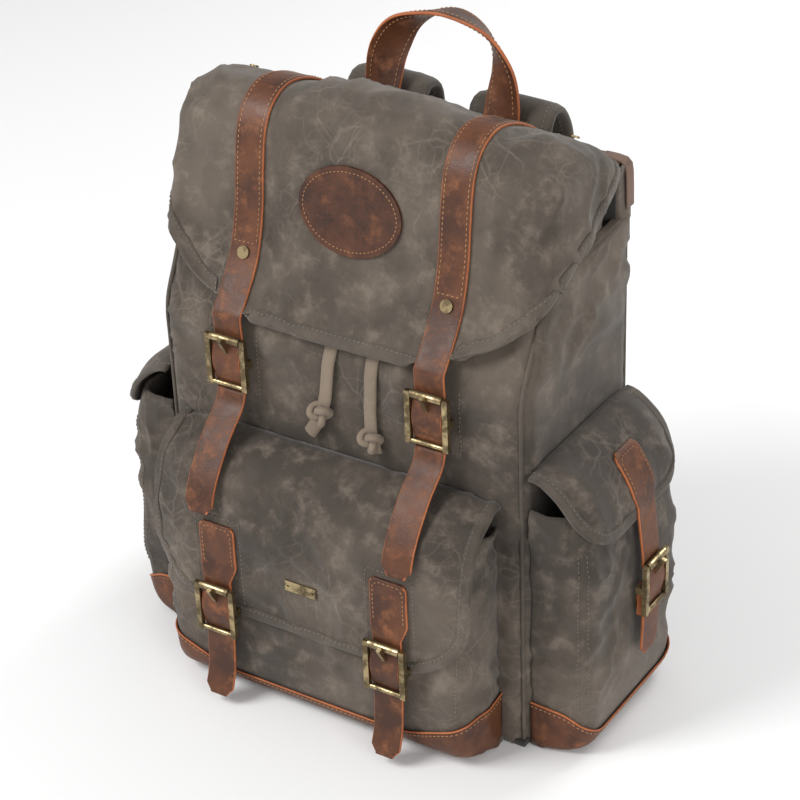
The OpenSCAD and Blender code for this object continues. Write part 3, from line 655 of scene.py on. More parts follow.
def pocket_flap(curve, half, r, count, rows_step, droop):
    """The outer face of a pocket flap about its own middle: rows of (across, out, z)."""
    face = resampled(beside(curve, FLAP_T), rows_step)
    lip = min(p[1] for p in face)
    rows = []
    for p in face:
        z = max(p[1], lip + 0.0015)
        w = max(lip_half(z, lip, half, r), half - r)
        row = []
        for k in range(-count, count + 1):
            x = w * k / count
            over = blend_to(half - 0.028, half, abs(x))
            row.append((x, -p[0] - droop * over * min(1, -p[0] / 0.03), z - 0.5 * droop * over))
        rows.append(row)
    return rows


front_flap_curve = smooth(yz([(-3, 216), (-20, 213.5), (-41, 200), (-50.5, 178), (-52.7, 150),
                              (-52.7, 115), (-52.7, 80)]))
side_flap_curve = smooth(yz([(-1.5, 243), (-14, 241), (-33, 229), (-47.5, 205), (-50.7, 183)]))


def front_flap_mask(p):
    badge = math.hypot((p.x + 0.002) / 0.019, (p.z - 0.125) / 0.010)
    tails = max(blend_to(0.034, 0.050, abs(p.x - 0.008)), 1 - blend_to(0.185, 0.20, p.z))
    return near_strap(p.x, POCKET_X, 0.0175) * blend_to(1.0, 1.8, badge) * tails


front_flap_rows = [[Vector((x, FRONT_Y - out, z)) for x, out, z in row]
                   for row in pocket_flap(front_flap_curve, 0.141, 0.066, 48, 0.0045, 0.007)]
cloth("front_flap_canvas", front_flap_rows, lambda c: Vector((0, -1, 0.6)), WAXED, "front_flap", FLAP_T,
      0.0034, front_flap_mask, ["front_flap"])

SIDE_MIDDLE = -0.002
side_rows = [[Vector((SIDE_X + out, SIDE_MIDDLE + x, z)) for x, out, z in row]
             for row in pocket_flap(side_flap_curve, 0.075, 0.045, 30, 0.0045, 0.007)]


def side_mask(p):
    seam = blend_to(0.004, 0.034, 0.243 - p.z)
    return blend_to(0.0175, 0.026, abs(p.y - SIDE_Y)) * seam


cloth("right_flap_canvas", side_rows, lambda c: Vector((1, 0, 0.6)), WAXED, "right_flap", FLAP_T,
      0.0026, side_mask, ["right_flap"])
cloth("left_flap_canvas", mirrored(side_rows), lambda c: Vector((-1, 0, 0.6)), WAXED, "left_flap",
      FLAP_T, 0.0026, side_mask, ["left_flap"])
print("flap rows:", len(front_flap_rows), len(side_rows))

# %% [markdown]
# ### Pockets
#
# A patch pocket is a strip of canvas that goes round from body to body. A beveled box would
# give its corners but not its narrowing top. So rows are laid up its profile, each a U with
# round corners, and the cloth between them puffs out a little.

# %% Pockets
def pocket_rows(curve, half, r, step, puff):
    """A pocket's outer face: rows up its profile, each from the body round to the body.
    A row is made of (across, out, z); the corners are round with radius r."""
    rows = []
    for p in resampled(curve, step):
        d, z = max(-p[0], 0.0004), p[1]
        c = min(r, d * 0.95)
        plan = [(-half, 0), (-half - puff, d * 0.4), (-half, d - c)]
        plan += [(-half + c - c * math.cos(a), d - c + c * math.sin(a))
                 for a in (0.26, 0.52, 0.79, 1.05, 1.31, 1.57)]
        plan += [(0, d)] + [(-x, y) for x, y in reversed(plan)]
        line = evenly([Vector((x, y, z)) for x, y in plan], 110)
        rows.append([(q.x, q.y, q.z) for q in line])
    return rows


front_curve = smooth(yz([(0, 3), (-30, 3), (-47, 14), (-51.5, 38), (-52, 50), (-52, 62), (-52, 118),
                         (-52, 135), (-46, 172), (-32, 194)]))
side_curve = smooth(yz([(0, 3), (-26, 3), (-44, 12), (-50, 45), (-50, 60), (-50, 135), (-50, 148),
                        (-46, 185), (-36, 212)]))


def front_pocket_mask(p):
    """Flat under the flap and the straps, free lower down and round the sides."""
    under = 1 - blend_to(0.074, 0.082, p.z) if p.y < -0.118 and abs(p.x) < 0.13 else 1
    low = blend_to(0.040, 0.060, p.z)
    return low * (max(0.25, under) * near_strap(p.x, POCKET_X) if p.y < -0.115 else 1.0)


front_pocket_rows = [[Vector((x, FRONT_Y - out, z)) for x, out, z in row]
                     for row in pocket_rows(front_curve, 0.136, 0.016, 0.0045, 0.003)]
cloth("front_pocket_canvas", front_pocket_rows, lambda c: Vector((c.x, c.y + 0.08, (c.z - 0.1) * 0.3)),
      WAXED, "bag", POCKET_T, 0.0042, front_pocket_mask, ["front_pocket"])


def side_pocket_mask(p):
    out = abs(p.x) - SIDE_X
    under = 1 - blend_to(0.172, 0.184, p.z) if out > 0.03 else 1
    low = blend_to(0.036, 0.056, p.z)
    return low * max(0.15, under) * (blend_to(0.0135, 0.022, abs(p.y - SIDE_Y)) if out > 0.035 else 1)


side_pocket_rows = [[Vector((SIDE_X + out, SIDE_MIDDLE + x, z)) for x, out, z in row]
                    for row in pocket_rows(side_curve, 0.070, 0.015, 0.0045, 0.002)]
cloth("right_pocket_canvas", side_pocket_rows, lambda c: Vector((c.x - 0.16, c.y, (c.z - 0.1) * 0.3)),
      WAXED, "bag", POCKET_T, 0.0042, side_pocket_mask, ["right_pocket"])
cloth("left_pocket_canvas", mirrored(side_pocket_rows),
      lambda c: Vector((c.x + 0.16, c.y, (c.z - 0.1) * 0.3)), WAXED,
      "bag", POCKET_T, 0.0042, side_pocket_mask, ["left_pocket"])
print("pocket rows:", len(front_pocket_rows), len(side_pocket_rows))

# %% [markdown]
# ### Leather trims
#
# Leather guards the pockets' bottoms and rises at the corners, where bags wear first. It
# could be a separate shape cut to fit. Copying the lowest stretch of each pocket's own rows,
# moved out by a leather's thickness, makes it follow the pocket with no gap.

# %% Leather trims round the pockets' bottoms
def trim_rows(rows, centre, middle_top, corner_top, corner_at):
    """The lower stretch of a pocket's face, moved out a little: low in the middle, higher
    towards the corners, with a curved top edge."""
    out = []
    low = [row for row in rows if row[len(row) // 2].z < 0.075][5:]
    for j in range(len(rows[0])):
        column = [row[j] for row in low]
        reach = blend_to(corner_at * 0.45, corner_at, abs(j / (len(rows[0]) - 1) - 0.5) * 2)
        top = middle_top + (corner_top - middle_top) * reach
        kept = [p for p in column if p.z < top]
        last = column[len(kept)] if len(kept) < len(column) else column[-1]
        before = kept[-1]
        share = (top - before.z) / max(last.z - before.z, 1e-6)
        kept.append(before.lerp(last, min(max(share, 0), 1)))
        out.append(evenly(kept, 12))
    turned = [[column[i] for column in out] for i in range(13)]
    away = [[(p - centre(p)).normalized() for p in row] for row in turned]
    return [[p + 0.0024 * a for p, a in zip(row, aways)] for row, aways in zip(turned, away)]


front_trim = trim_rows(front_pocket_rows,
                       lambda p: Vector((max(min(p.x, 0.12), -0.12), -0.08, max(p.z, 0.02))),
                       0.020, 0.044, 0.85)
side_trim = trim_rows(side_pocket_rows,
                      lambda p: Vector((0.16, max(min(p.y, 0.05), -0.055), max(p.z, 0.02))),
                      0.018, 0.040, 0.85)
trims = [("front_trim", front_trim, lambda c: Vector((c.x * 0.5, c.y + 0.08, 0))),
         ("right_trim", side_trim, lambda c: Vector((c.x - 0.16, c.y * 0.5, 0))),
         ("left_trim", mirrored(side_trim), lambda c: Vector((c.x + 0.16, c.y * 0.5, 0)))]
for name, rows, outward in trims:
    piece = cloth(name, rows, outward, LEATHER, "bag", 0.0014, 0.0, None, ["pocket_trims"])
    edge = tube(f"{name}_edge", [on(name, p)[0] for p in rows[-1]], 0.0013, 0.0019, LEATHER_EDGE, "bag", 6)
print("trims:", [name for name, rows, outward in trims])

# %% [markdown]
# ### The body
#
# The body is four panels: a front that leans back to the mouth, two sides that swell above
# the pockets, and a padded back. Plain rectangles would look like a box. So the edges curl in
# at the seams, and the cloth swells only where nothing is sewn on it.

# %% The body's four faces
front_profile = resampled(smooth(yz([(-80, 0.2), (-80, 30), (-80, 120), (-80, 216), (-80, 270),
                                     (-79, 300), (-66, 328), (-50, 361), (-36, 380)])), 0.0045)
front_panel_rows = []
for y, z in front_profile:
    row = []
    for k in range(-36, 37):
        x = 0.160 * k / 36
        curl = blend_to(0.146, 0.160, abs(x))
        swell = (0.0045 * blend_to(0.250, 0.28, z) * (1 - blend_to(0.29, 0.33, z))
                 * (1 - blend_to(0.10, 0.15, abs(x))))
        quiet = near_strap(x, MAIN_X, 0.018, 0.016) * blend_to(0.018, 0.05, abs(x - 0.012))
        row.append(Vector((x, y + 0.009 * curl - swell * quiet, z)))
    front_panel_rows.append(row)


def front_panel_mask(p):
    cords = blend_to(0.034, 0.05, abs(p.x - 0.008)) if p.z > 0.22 else 1
    hinge = blend_to(0.018, 0.032, abs(p.z - 0.228))
    return near_strap(p.x, MAIN_X, 0.018) * cords * hinge * blend_to(0, 0.01, 0.158 - abs(p.x))


cloth("front_canvas", front_panel_rows, lambda c: Vector((0, -1, 0.2)), WAXED, "bag", 0.0024, 0.0044,
      front_panel_mask, ["front_panel"])


def side_edge(z):
    """Where the side panel starts, at its front, for a height."""
    low = [p for p in front_profile if p[1] <= z] or [front_profile[0]]
    return low[-1][0] + 0.006


def side_rows_for(sign):
    rows = []
    for i in range(96):
        z = 0.0002 + 0.4258 * i / 95
        y1 = side_edge(z) if z < 0.380 else -0.030 + 0.088 * blend_to(0.380, 0.384, z)
        row = []
        for k in range(41):
            t = k / 40
            y = y1 + (0.078 - y1) * t
            round_off = 0.006 * ((1 - blend_to(0, 0.07, t)) + blend_to(0.93, 1, t))
            above = blend_to(0.292, 0.335, z) * (1 - blend_to(0.37, 0.415, z))
            swell = 0.009 * above * math.sin(math.pi * t) * (1 - blend_to(0.33, 0.36, z) * 0.7)
            row.append(Vector((sign * (SIDE_X - round_off + swell), y, z)))
        rows.append(row)
    return rows


for sign, name in ((-1, "left_side_canvas"), (1, "right_side_canvas")):
    cloth(name, side_rows_for(sign), lambda c, s=sign: Vector((s, 0, 0)), WAXED, "bag", 0.0024, 0.0056,
          lambda p: blend_to(0.290, 0.325, p.z) * blend_to(0, 0.012, 0.078 - p.y), ["side_panels"])

back_rows = []
for i in range(85):
    across = [-0.158 + 0.316 * k / 64 for k in range(65)]
    back_rows.append([Vector((x, 0.0805 - 0.006 * blend_to(0.146, 0.158, abs(x)), 0.0005 + 0.4255 * i / 84))
                      for x in across])
cloth("back_canvas", back_rows, lambda c: Vector((0, 1, 0)), PADDING, "bag", 0.008, 0.0016, None,
      ["back_panel"])
print("body rows:", len(front_panel_rows), len(back_rows))

# %% [markdown]
# ### The collar
#
# Under the flap the bag's mouth is a collar that a cord in a tunnel gathers. Its folds could
# come from a simulation, but they are hidden and even, so a wave round a squared oval is
# enough. The wave stops at the eyelets, where the cord comes out.

# %% The collar, gathered along its drawcord tunnel
collar_rows = []
for i in range(26):
    z = 0.364 + 0.059 * i / 25
    row = []
    for k in range(241):
        a = 2 * math.pi * k / 240
        c, s = math.cos(a), math.sin(a)
        power = 0.22
        x = 0.1545 * math.copysign(abs(c) ** power, c)
        y = 0.0122 + 0.0445 * math.copysign(abs(s) ** power, s)
        gather = 0.0022 * math.sin(46 * a) * blend_to(0.385, 0.40, z) * (1 - blend_to(0.415, 0.423, z) * 0.4)
        free = 0.0 if s < -0.5 and abs(x - CORD_X) < 0.032 else 1.0
        out = Vector((x, y - 0.0122, 0)).normalized() * (gather * free + 0.0015 * blend_to(0.40, 0.404, z))
        row.append(Vector((x, y, z)) + out)
    collar_rows.append(row)
cloth("collar_canvas", collar_rows, lambda c: Vector((c.x * 0.3, c.y - 0.012, 0)), WAXED, "bag", 0.002,
      0.0012, lambda p: 0.0 if abs(p.x - CORD_X) < 0.04 else 1.0, ["collar"])
print("cloth pieces:", len(SURFACE))

# %% [markdown]
# ## Sewing
#
# Stitches tell sewn leather from moulded plastic. A texture could draw them but would stay
# flat from near by. Each stitch is a small stretched ball, and all stitches of one thread on
# one moving piece are collected in one mesh, which keeps the scene light.

# %% Stitches
stitch_shape = bmesh.new()
bmesh.ops.create_uvsphere(stitch_shape, u_segments=6, v_segments=4, radius=1.0)
STITCH = bpy.data.meshes.new("one_stitch")
stitch_shape.to_mesh(STITCH)
stitch_shape.free()
SEWN = {}


def stitches(body, material, points, normals, pitch=0.0040, thick=0.00042, lift=0.0002):
    """A row of thread bumps along points, standing on the side that normals give."""
    made = SEWN.setdefault((body, material.name), bmesh.new())
    count = max(1, round(length_of(points) / pitch))
    line = evenly(points, 2 * count)
    for k in range(count):
        a, b = line[2 * k], line[2 * k + 1]
        n = normals(a.lerp(b, 0.5))
        along = (b - a) * 1.35
        if along.length < 1e-6:
            continue
        side = n.cross(along).normalized()
        top = along.cross(side).normalized()
        centre = a.lerp(b, 0.5) + top * lift
        half = along / 2
        shape = Matrix((half, side * thick, top * thick)).transposed().to_4x4()
        shape.translation = centre
        STITCH.transform(shape)
        made.from_mesh(STITCH)
        STITCH.transform(shape.inverted())


def sewn_on(name, body, material, points, pitch=0.0040, lift=0.0002):
    """Stitches pressed onto a finished cloth surface."""
    line = [on(name, p)[0] for p in resampled(points, 0.004)]
    stitches(body, material, line, lambda p: on(name, p)[1], pitch, lift=lift)


print("faces in one stitch:", len(STITCH.polygons))

# %% [markdown]
# ### Hem binding
#
# A flap's cut edge would fray, so a tape is folded round it and sewn down. A bevel on the
# cloth's edge would have no tape to show. The tape is a narrow cloth of its own, laid on the
# finished surface from the outside over the edge, and pressed flat near the straps.


def hem(name, body, edge, middle, width=0.010, press=lambda p: 1.0):
    """A folded tape round the free edge of a flap, with its row of stitches."""
    edge = evenly(edge, max(20, round(length_of(edge) / 0.005)))
    rows, seam = [], []
    for i, p in enumerate(edge):
        at, n = on(name, p)
        t = (edge[min(i + 1, len(edge) - 1)] - edge[max(i - 1, 0)]).normalized()
        inward = n.cross(t).normalized()
        if inward.dot(middle - p) < 0:
            inward = -inward
        free = 0.1 + 0.9 * press(p)
        row = [p - n * 0.0031, p - n * 0.0016 - inward * 0.0009, p + n * 0.0003 * free - inward * 0.0006]
        for share, lift in ((0.15, 0.0010 * free), (0.55, 0.0011 * free), (0.93, 0.0009 * free),
                            (1.0, 0.0001)):
            q, m = on(name, p + inward * width * share)
            row.append(q + m * lift)
        q, m = on(name, p + inward * width * 0.76)
        seam.append(q + m * 0.0010 * free)
        rows.append(row)
    tape = cloth(f"{name}_hem", rows, lambda c: on(name, c)[1], BINDING, body, 0.0003)
    stitches(body, THREAD, seam, lambda p: on(name, p)[1])


def round_edge(rows):
    """The free edge of a flap: down one side, along the lip and up the other side."""
    return [row[0] for row in rows] + rows[-1][1:-1] + [row[-1] for row in reversed(rows)]


hem("flap_canvas", "main_flap", round_edge(main_flap_rows), Vector((0, -0.05, 0.43)), 0.010,
    lambda p: near_strap(p.x, MAIN_X) if p.z < 0.36 else 1.0)
hem("front_flap_canvas", "front_flap", round_edge(front_flap_rows), Vector((0, -0.13, 0.17)), 0.009,
    lambda p: near_strap(p.x, POCKET_X) if p.z < 0.12 else 1.0)
hem("right_flap_canvas", "right_flap", round_edge(side_rows), Vector((0.19, -0.002, 0.23)), 0.009, side_mask)
hem("left_flap_canvas", "left_flap", round_edge(mirrored(side_rows)), Vector((-0.19, -0.002, 0.23)), 0.009,
    side_mask)

# %% [markdown]
# ### The flaps and the panels that hold them
#
# Each flap hangs as one cut sheet with its binding. Its flat size could be guessed from its
# outline. The loop below pairs each flap's rows with the panel that holds it and does
# nothing with them, so no size is measured.

# %% The flaps and the panels that hold them
for name, rows, holder in (("flap_canvas", main_flap_rows, "back_canvas"),
                           ("front_flap_canvas", front_flap_rows, "front_canvas"),
                           ("right_flap_canvas", side_rows, "right_side_canvas"),
                           ("left_flap_canvas", side_rows, "left_side_canvas")):
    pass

# %% [markdown]
# ### Edges and stitches of the straps
#
# A strap is cut from dyed leather and its edges show the bare hide. On the buckles' short
# tabs, faces that look sideways get the paler finish, which is simpler than splitting the
# mesh. The rows of tan thread follow the strap's own profile, a little inside its edges.

# %% Cut edges and strap stitching
CUT_EDGES = {"x": ["main_chapes", "front_chapes"], "y": ["left_chape", "right_chape"]}
for axis, names in CUT_EDGES.items():
    for name in names:
        mesh = nodes[name].data
        mesh.materials.append(LEATHER_EDGE)
        for face in mesh.polygons:
            if abs(getattr(face.normal, axis)) > 0.8:
                face.material_index = 1

STRAP_OUT = FLAP_T + SEWN_GAP + STRAP_T
strap_face = beside(flap_curve, STRAP_OUT)


def strap_normal(p):
    """The way out of the main straps' outer face: up over the top, forward down the front."""
    return Vector((0, p.y, p.z - 0.40)).normalized() if p.z > 0.44 else Vector((0, -1, 0.3))


for x in (-MAIN_X, MAIN_X):
    for side in (-STITCH_IN, STITCH_IN):
        line = [Vector((x + side, y, z)) for y, z in strap_face[3:32]]
        stitches("main_flap", TAN_THREAD, line, strap_normal)
    line = [Vector((x + s, strap_face[31][0], strap_face[31][1])) for s in (-STITCH_IN, 0, STITCH_IN)]
    stitches("main_flap", TAN_THREAD, line, strap_normal)


def face_at(curve, z):
    """The depth of a profile at height z."""
    for (y1, z1), (y2, z2) in zip(curve, curve[1:]):
        if z2 <= z <= z1:
            return y1 + (y2 - y1) * (z1 - z) / max(z1 - z2, 1e-9)
    return curve[-1][0]


def tab_border(curve, low, high, half):
    """Round the sewn tab, from low up one side, over its top and down: (across, out, z)."""
    r = 0.004
    path = [(-half, low), (-half, high - r), (-half + r, high),
            (half - r, high), (half, high - r), (half, low)]
    line = evenly([Vector((x, 0, z)) for x, z in path], 60)
    return [(p.x, -face_at(curve, p.z), p.z) for p in line]


front_tab = beside(front_flap_curve, STRAP_OUT)
for x in (-POCKET_X, POCKET_X):
    line = [Vector((x + a, FRONT_Y - out, z)) for a, out, z in tab_border(front_tab, 0.124, 0.1570, 0.0130)]
    stitches("front_flap", TAN_THREAD, line, lambda p: Vector((0, -1, 0.1)))
side_tab = beside(side_flap_curve, STRAP_OUT)
for sign, body in ((1, "right_flap"), (-1, "left_flap")):
    line = [Vector((sign * (SIDE_X + out), SIDE_Y + a, z))
            for a, out, z in tab_border(side_tab, 0.206, 0.2310, 0.0130)]
    stitches(body, TAN_THREAD, line, lambda p, s=sign: Vector((s, 0, 0.8)))
print("threads so far:", list(SEWN))

# %% [markdown]
# ### The patch's border
#
# The oval patch is held by one row of stitches inside its edge. It could be a curve laid on
# the cloth. An ellipse with its depth read off the patch's own profile keeps the thread on
# the leather.

# %% The patch's border
patch_face = beside(flap_curve, FLAP_T + SEWN_GAP + PATCH_T)
ring = []
for k in range(73):
    a = 2 * math.pi * k / 72
    z = PATCH_Z + 0.0292 * math.sin(a)
    ring.append(Vector((0.0402 * math.cos(a), face_at(patch_face, z), z)))
stitches("main_flap", TAN_THREAD, ring, lambda p: Vector((0, -1, 0.2)), 0.0034)
print("border:", round(length_of(ring), 4), "m")

# %% [markdown]
# ### Rows of stitches on the cloth
#
# Sewn-down pieces leave rows in the cloth's own color: beside the buckles, round the tabs and
# down the pockets. They are drawn as plain lines near the cloth and pressed onto it, so they
# follow every fold without being modelled with it.

# %% Rows of stitches on the cloth
for x in (-MAIN_X, MAIN_X):
    for side in (-0.019, 0.019):
        sewn_on("front_canvas", "bag", THREAD, [Vector((x + side, -0.085, z)) for z in (0.246, 0.27, 0.300)])
    sewn_on("front_canvas", "bag", THREAD,
            [Vector((x + side, -0.085, 0.246)) for side in (-0.019, 0.019)])
for x in (-POCKET_X, POCKET_X):
    box_path = [(x - 0.0205, 0.086), (x - 0.0205, 0.165), (x + 0.0205, 0.165), (x + 0.0205, 0.086)]
    sewn_on("front_flap_canvas", "front_flap", THREAD,
            resampled([Vector((u, FRONT_Y - 0.055, v)) for u, v in box_path], 0.004))
for name, rows, outward in trims:
    sewn_on(name, "bag", TAN_THREAD, [p - Vector((0, 0, 0.0032)) for p in rows[-1]])
for sign, name in ((1, "right_pocket_canvas"), (-1, "left_pocket_canvas")):
    sewn_on(name, "bag", THREAD, [Vector((sign * 0.205, -0.068, z)) for z in (0.045, 0.12, 0.185)])
    sewn_on(name, "bag", THREAD, [Vector((sign * 0.2, -0.074, z)) for z in (0.045, 0.12, 0.185)])
for sign in (1, -1):
    sewn_on("front_pocket_canvas", "bag", THREAD,
            [Vector((sign * 0.131, -0.135, z)) for z in (0.05, 0.12, 0.175)])
print("threads so far:", len(SEWN))

# %% [markdown]
# ### Piped seams
#
# Where two panels meet, a cord covered in binding hides the cut edges. A thin tube along the
# corner stands for it, and its line is the front panel's own profile, so it leans back with
# the bag.

# %% Piped seams at the body's corners
for sign in (-1, 1):
    line = [Vector((sign * 0.1546, y + 0.0046, z)) for y, z in front_profile]
    tube(f"corner_seam_{'right' if sign > 0 else 'left'}", line, 0.0032, 0.0032, BINDING, "bag", 8)
    line = [Vector((sign * 0.1562, 0.0768, z)) for z in (0.002, 0.1, 0.2, 0.3, 0.4, 0.4245)]
    tube(f"rear_seam_{'right' if sign > 0 else 'left'}", line, 0.0034, 0.0034, BINDING, "bag", 8)
print("seam height:", round(line[-1].z, 4), "m")

# %% [markdown]
# ### Handle and shoulder pads
#
# The handle is one strap bent to a loop, and each pad is a stuffed strip that comes over the
# top of the back. A curve with a bevel could not twist or narrow them freely. So a section is
# swept through stations, each with its own place, direction, width and thickness.

# %% Handle and shoulder pads
def loop_sweep(name, stations, section, material, body, instead, crumpled=0.0):
    """A closed section swept through stations of (place, across, up, width, thickness)."""
    made = bmesh.new()
    n, m = len(section), len(stations)
    bmesh.ops.create_grid(made, x_segments=n, y_segments=m - 1, size=0.5)
    for v in made.verts:
        i = round((v.co.y + 0.5) * (m - 1))
        j = round((v.co.x + 0.5) * n) % n
        p, a, b, w, t = stations[i]
        v.co = p + a * (section[j][0] * w / 2) + b * (section[j][1] * t / 2)
    bmesh.ops.remove_doubles(made, verts=made.verts, dist=1e-6)
    bmesh.ops.holes_fill(made, edges=[e for e in made.edges if e.is_boundary], sides=0)
    bmesh.ops.recalc_face_normals(made, faces=made.faces)
    made.normal_update()
    if crumpled:
        moved = [(v, v.co + v.normal * crumple(v.co, crumpled)) for v in made.verts]
        for v, p in moved:
            v.co = p
    made.normal_update()
    SURFACE[name] = BVHTree.FromBMesh(made)
    piece = new_piece(name, made, material)
    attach(piece, body)
    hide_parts(*instead)
    return piece


def bright_edges(piece, stations, share):
    """The paler finish on the faces beyond this share of the half width: the cut edges."""
    piece.data.materials.append(LEATHER_EDGE)
    for face in piece.data.polygons:
        middle = min(stations, key=lambda s: (s[0] - face.center).length)
        if abs((face.center - middle[0]).dot(middle[1])) > middle[3] / 2 * share:
            face.material_index = 1


def rounded_section(power, count):
    """A flat oval: power 1 is an ellipse, smaller is squarer."""
    out = []
    for k in range(count):
        a = 2 * math.pi * k / count
        out.append((math.copysign(abs(math.cos(a)) ** power, math.cos(a)),
                    math.copysign(abs(math.sin(a)) ** power, math.sin(a))))
    return out


handle_line = [Vector((x, z)) / 1000 for x, z in
               [(-52, 0), (-52, 18), (-49, 42.9), (-34, 66.3), (0, 78), (34, 66.3), (49, 42.9),
                (52, 18), (52, 0)]]
handle_line = resampled(smooth(handle_line, 8), 0.0035)
lean = Matrix.Rotation(math.radians(-12), 3, "X")
handle_root = Vector((0, 0.076, 0.428))
handle_stations = []
for i, p in enumerate(handle_line):
    t = tangent(handle_line, i)
    turn = math.radians(90) * math.sin(math.pi * i / (len(handle_line) - 1)) ** 2
    along = Vector((t[0], 0, t[1]))
    w = math.cos(turn) * Vector((t[1], 0, -t[0])) + math.sin(turn) * Vector((0, 1, 0))
    across = (w - w.dot(along) * along).normalized()
    handle_stations.append((handle_root + lean @ Vector((p[0], 0, max(p[1], 0.0012))), lean @ across,
                            lean @ along.cross(across), 0.030, 0.0034))
handle = loop_sweep("handle_leather", handle_stations, rounded_section(0.35, 28), LEATHER, "carry_handle",
                    ["carry_handle"])
bright_edges(handle, handle_stations, 0.96)
for share in (-1, 1):
    for face_side in (-1, 1):
        line = [s[0] + s[1] * share * 0.0105 + s[2] * face_side * 0.0017 for s in handle_stations[3:-3]]
        stitches("carry_handle", TAN_THREAD, line,
                 lambda p, f=face_side: f * min(handle_stations, key=lambda s: (s[0] - p).length)[2])

pad_line = resampled(smooth([Vector(p) / 1000 for p in
                             [(54, 85, 412), (54, 86.5, 430), (54, 94, 440), (54, 107, 438),
                              (55, 115.5, 424), (57, 118, 400),
                              (63, 114, 340), (76, 108, 270), (90, 103, 205)]], 6), 0.006)
pad_stations = []
for i, p in enumerate(pad_line):
    t = tangent(pad_line, i)
    across = (Vector((1, 0, 0)) - t.x * t).normalized()
    share = i / (len(pad_line) - 1)
    pad_stations.append((p, across, t.cross(across), 0.072 - 0.016 * share, 0.0102))
for sign, name in ((1, "right"), (-1, "left")):
    flip = Vector((sign, 1, 1))
    stations = [(p * flip, a * flip, b * flip, w, t) for p, a, b, w, t in pad_stations]
    pad = loop_sweep(f"{name}_pad_canvas", stations, rounded_section(0.62, 36), PADDING, "bag",
                     [f"{name}_pad"], 0.0008)
    for share in (-1, 1):
        line = [s[0] + s[1] * share * (s[3] / 2 - 0.006) for s in stations]
        for face_side in (-1, 1):
            sewn_on(f"{name}_pad_canvas", "bag", THREAD,
                    [q + s[2] * face_side * 0.006 for q, s in zip(line, stations)])
print("handle", round(length_of(handle_line), 3), "m, pad", round(length_of(pad_line), 3), "m")

# %% [markdown]
# ### Leather straps
#
# The CAD straps are true in size but square-edged and perfectly straight. Beveling them would
# leave them stiff. Sweeping a rounded section along the same middle lines gives soft edges
# and a slight unevenness, and the strap still threads its buckle as the CAD part's does.

# %% Leather straps
def buckle_line(face, z):
    """The strap's line through a buckle, as in the CAD part, from above it to below it."""
    top, mid, low = 0.0083, 0.0136, 0.0094
    return [Vector((face - a, z + b)) for a, b in
            [(top, 0.0265), (top, 0.0195), (mid - 0.0016, 0.010), (mid, 0), (mid - 0.0018, -0.011),
             (low, -0.0195), (low, -0.023)]]


def strap_line(curve, first, last, rest):
    on_cloth = beside(curve, 0.0037)
    return on_cloth[first:last] + smooth([on_cloth[last]] + rest, 4)


def strap(name, line, place, across, widths, body, instead, top=1.0, step=0.003):
    """A leather strap along a line of (out, z), put in the bag's frame by place()."""
    line = [p for p in resampled(line, step) if p[1] <= top]
    stations = []
    for i, p in enumerate(line):
        a, b = place(line[max(i - 1, 0)]), place(line[min(i + 1, len(line) - 1)])
        t = (b - a).normalized()
        wave = 0.0002 * noise.noise(Vector((i * 0.3, place(p).x * 90, 0)))
        stations.append((place(p), across, t.cross(across), widths(p[1]) + wave, 0.0026))
    piece = loop_sweep(name, stations, rounded_section(0.25, 24), LEATHER, body, instead)
    bright_edges(piece, stations, 0.965)


def tip(z, low):
    """The width near a strap's cut end, with its two corners off."""
    return STRAP_W - 0.010 * (1 - blend_to(0, 0.007, z - low))


main_line = strap_line(flap_curve, 2, 40, buckle_line(FRONT_Y, 0.276))
tail_line = smooth(yz([(-89.4, 251), (-94.4, 239), (-113, 222), (-130, 200), (-138.5, 184), (-142, 170)]), 5)
front_line = strap_line(front_flap_curve, 10, 19, buckle_line(-0.052, 0.086)
                        + [Vector((-0.0617, 0.049)), Vector((-0.064, 0.028)), Vector((-0.071, 0.009))])
side_line = strap_line(side_flap_curve, 5, 15, buckle_line(-0.050, 0.125)
                       + [Vector((-0.059, 0.088)), Vector((-0.058, 0.062))])


def tab_width(high, low, z):
    """A wide tab with a rounded top that narrows to the strap below it."""
    wide = STRAP_W + 0.007 * min(max((z - low + 0.010) / 0.010, 0), 1)
    into = min(max(0.006 - (high - z), 0), 0.006)
    return wide - 2 * (0.006 - math.sqrt(0.006 ** 2 - into ** 2))


for sign, word in ((-1, "left"), (1, "right")):
    strap(f"main_strap_{word}_leather", main_line, lambda p, s=sign: Vector((MAIN_X * s, p[0], p[1])),
          Vector((1, 0, 0)), lambda z: STRAP_W, "main_flap", [f"main_strap_{word}"])
    strap(f"main_tail_{word}_leather", tail_line, lambda p, s=sign: Vector((MAIN_X * s, p[0], p[1])),
          Vector((1, 0, 0)), lambda z: tip(z, 0.170), "main_tails", ["main_tails"])
    strap(f"front_strap_{word}_leather", front_line,
          lambda p, s=sign: Vector((POCKET_X * s, FRONT_Y + p[0], p[1])), Vector((1, 0, 0)),
          lambda z: min(tab_width(0.160, 0.122, z), tip(z, 0.009) if z < 0.03 else 1), "front_flap",
          [f"front_strap_{word}"], 0.160, 0.0012)
    strap(f"side_strap_{word}_leather", side_line,
          lambda p, s=sign: Vector((s * (SIDE_X - p[0]), SIDE_Y, p[1])), Vector((0, 1, 0)),
          lambda z: min(tab_width(0.234, 0.204, z), tip(z, 0.062) if z < 0.08 else 1), f"{word}_flap",
          [f"{word}_strap"], 0.234, 0.0012)
print("main strap:", round(length_of(main_line), 3), "m")

# %% [markdown]
# ### The zip's ends
#
# The tape of the top zip is longer than the opening, and its ends fold down over the rear
# corners. A small cloth over a bent row of points is enough for each.

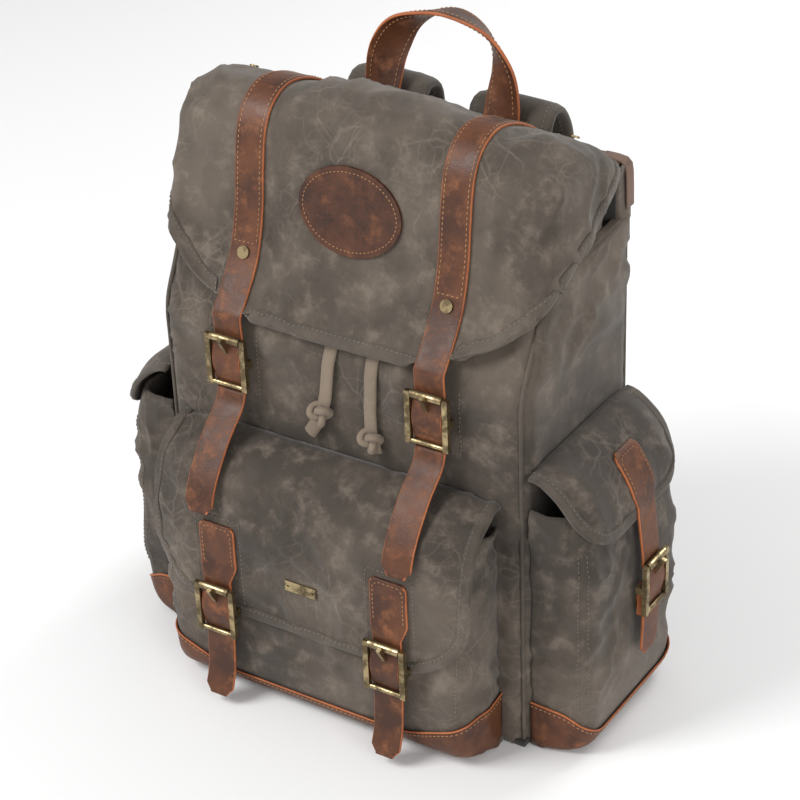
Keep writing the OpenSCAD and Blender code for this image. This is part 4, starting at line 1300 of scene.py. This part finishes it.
# %% The zip's end, folded down over each rear corner
for sign, name in ((1, "right"), (-1, "left")):
    rows = []
    for x, z in ((0.140, 0.4292), (0.150, 0.4292), (0.1575, 0.4282), (0.1612, 0.4245), (0.1622, 0.418),
                 (0.1626, 0.405), (0.1628, 0.392)):
        rows.append([Vector((sign * x, 0.0715 - 0.0055 + 0.011 * k / 6, z)) for k in range(7)])
    cloth(f"zip_end_{name}", rows, lambda c, s=sign: Vector((s, 0, 0.6)), ZIP_TAPE, "bag", 0.0008, 0, None,
          ())
print("zip end rows:", len(rows))

# %% [markdown]
# ### Joining the stitches
#
# The stitches were collected by thread and by moving piece. As thousands of objects they
# would be slow to draw. Each collection becomes one object, which rides on the piece that it
# is sewn to.

# %% Sewn rows become one mesh for each body and thread
for (body, material), made in SEWN.items():
    piece = new_piece(f"stitches_{body}_{material}", made, bpy.data.materials[material])
    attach(piece, body)
    print(piece.name, len(piece.data.polygons))
bpy.data.meshes.remove(STITCH)

# %% [markdown]
# ## Studio
#
# A product table is a sheet of paper that curves up behind the object, so no horizon shows. A
# plane with a corner would show a line; a grid that rises with the square of the distance has
# none.

# %% Floor and backdrop
sheet = bmesh.new()
bmesh.ops.create_grid(sheet, x_segments=2, y_segments=60, size=3.0)
for v in sheet.verts:
    beyond = max(v.co.y - 1.2, 0)
    v.co.z = beyond * beyond * 0.6 - 0.0005
paper, _, paper_shader = new_material("studio_paper")
paper_shader.inputs["Base Color"].default_value = (0.83, 0.83, 0.83, 1)
paper_shader.inputs["Roughness"].default_value = 0.9
floor = new_piece("floor", sheet, paper)
print("floor faces:", len(floor.data.polygons))

# %% [markdown]
# ### Lights
#
# Soft light brings out folds without hard edges. A large key stands at the left, a weaker
# fill at the right and a rim lamp behind. A picture of a real room could light the bag too,
# but three boxes are easier to move and to read.

# %% Lights
def softbox(name, place, size, power, aim=(0, 0, 0.22)):
    lamp = bpy.data.lights.new(name, "AREA")
    lamp.shape, lamp.size, lamp.size_y, lamp.energy = "RECTANGLE", size[0], size[1], power
    box = bpy.data.objects.new(name, lamp)
    box.location = place
    box.rotation_mode = "QUATERNION"
    box.rotation_quaternion = (Vector(aim) - Vector(place)).to_track_quat("-Z", "Y")
    scene.collection.objects.link(box)


softbox("key", (-1.1, -1.5, 1.9), (1.1, 1.1), 50)
softbox("fill", (2.0, -1.3, 1.0), (1.5, 1.5), 27)
softbox("rim", (0.6, 1.7, 1.7), (1.2, 0.9), 26)
world = bpy.data.worlds.new("studio")
world.use_nodes = True
world.node_tree.nodes["Background"].inputs["Color"].default_value = (1, 1, 1, 1)
world.node_tree.nodes["Background"].inputs["Strength"].default_value = 0.50
scene.world = world
scene.view_settings.view_transform = "Standard"
print("lights:", len(bpy.data.lights))
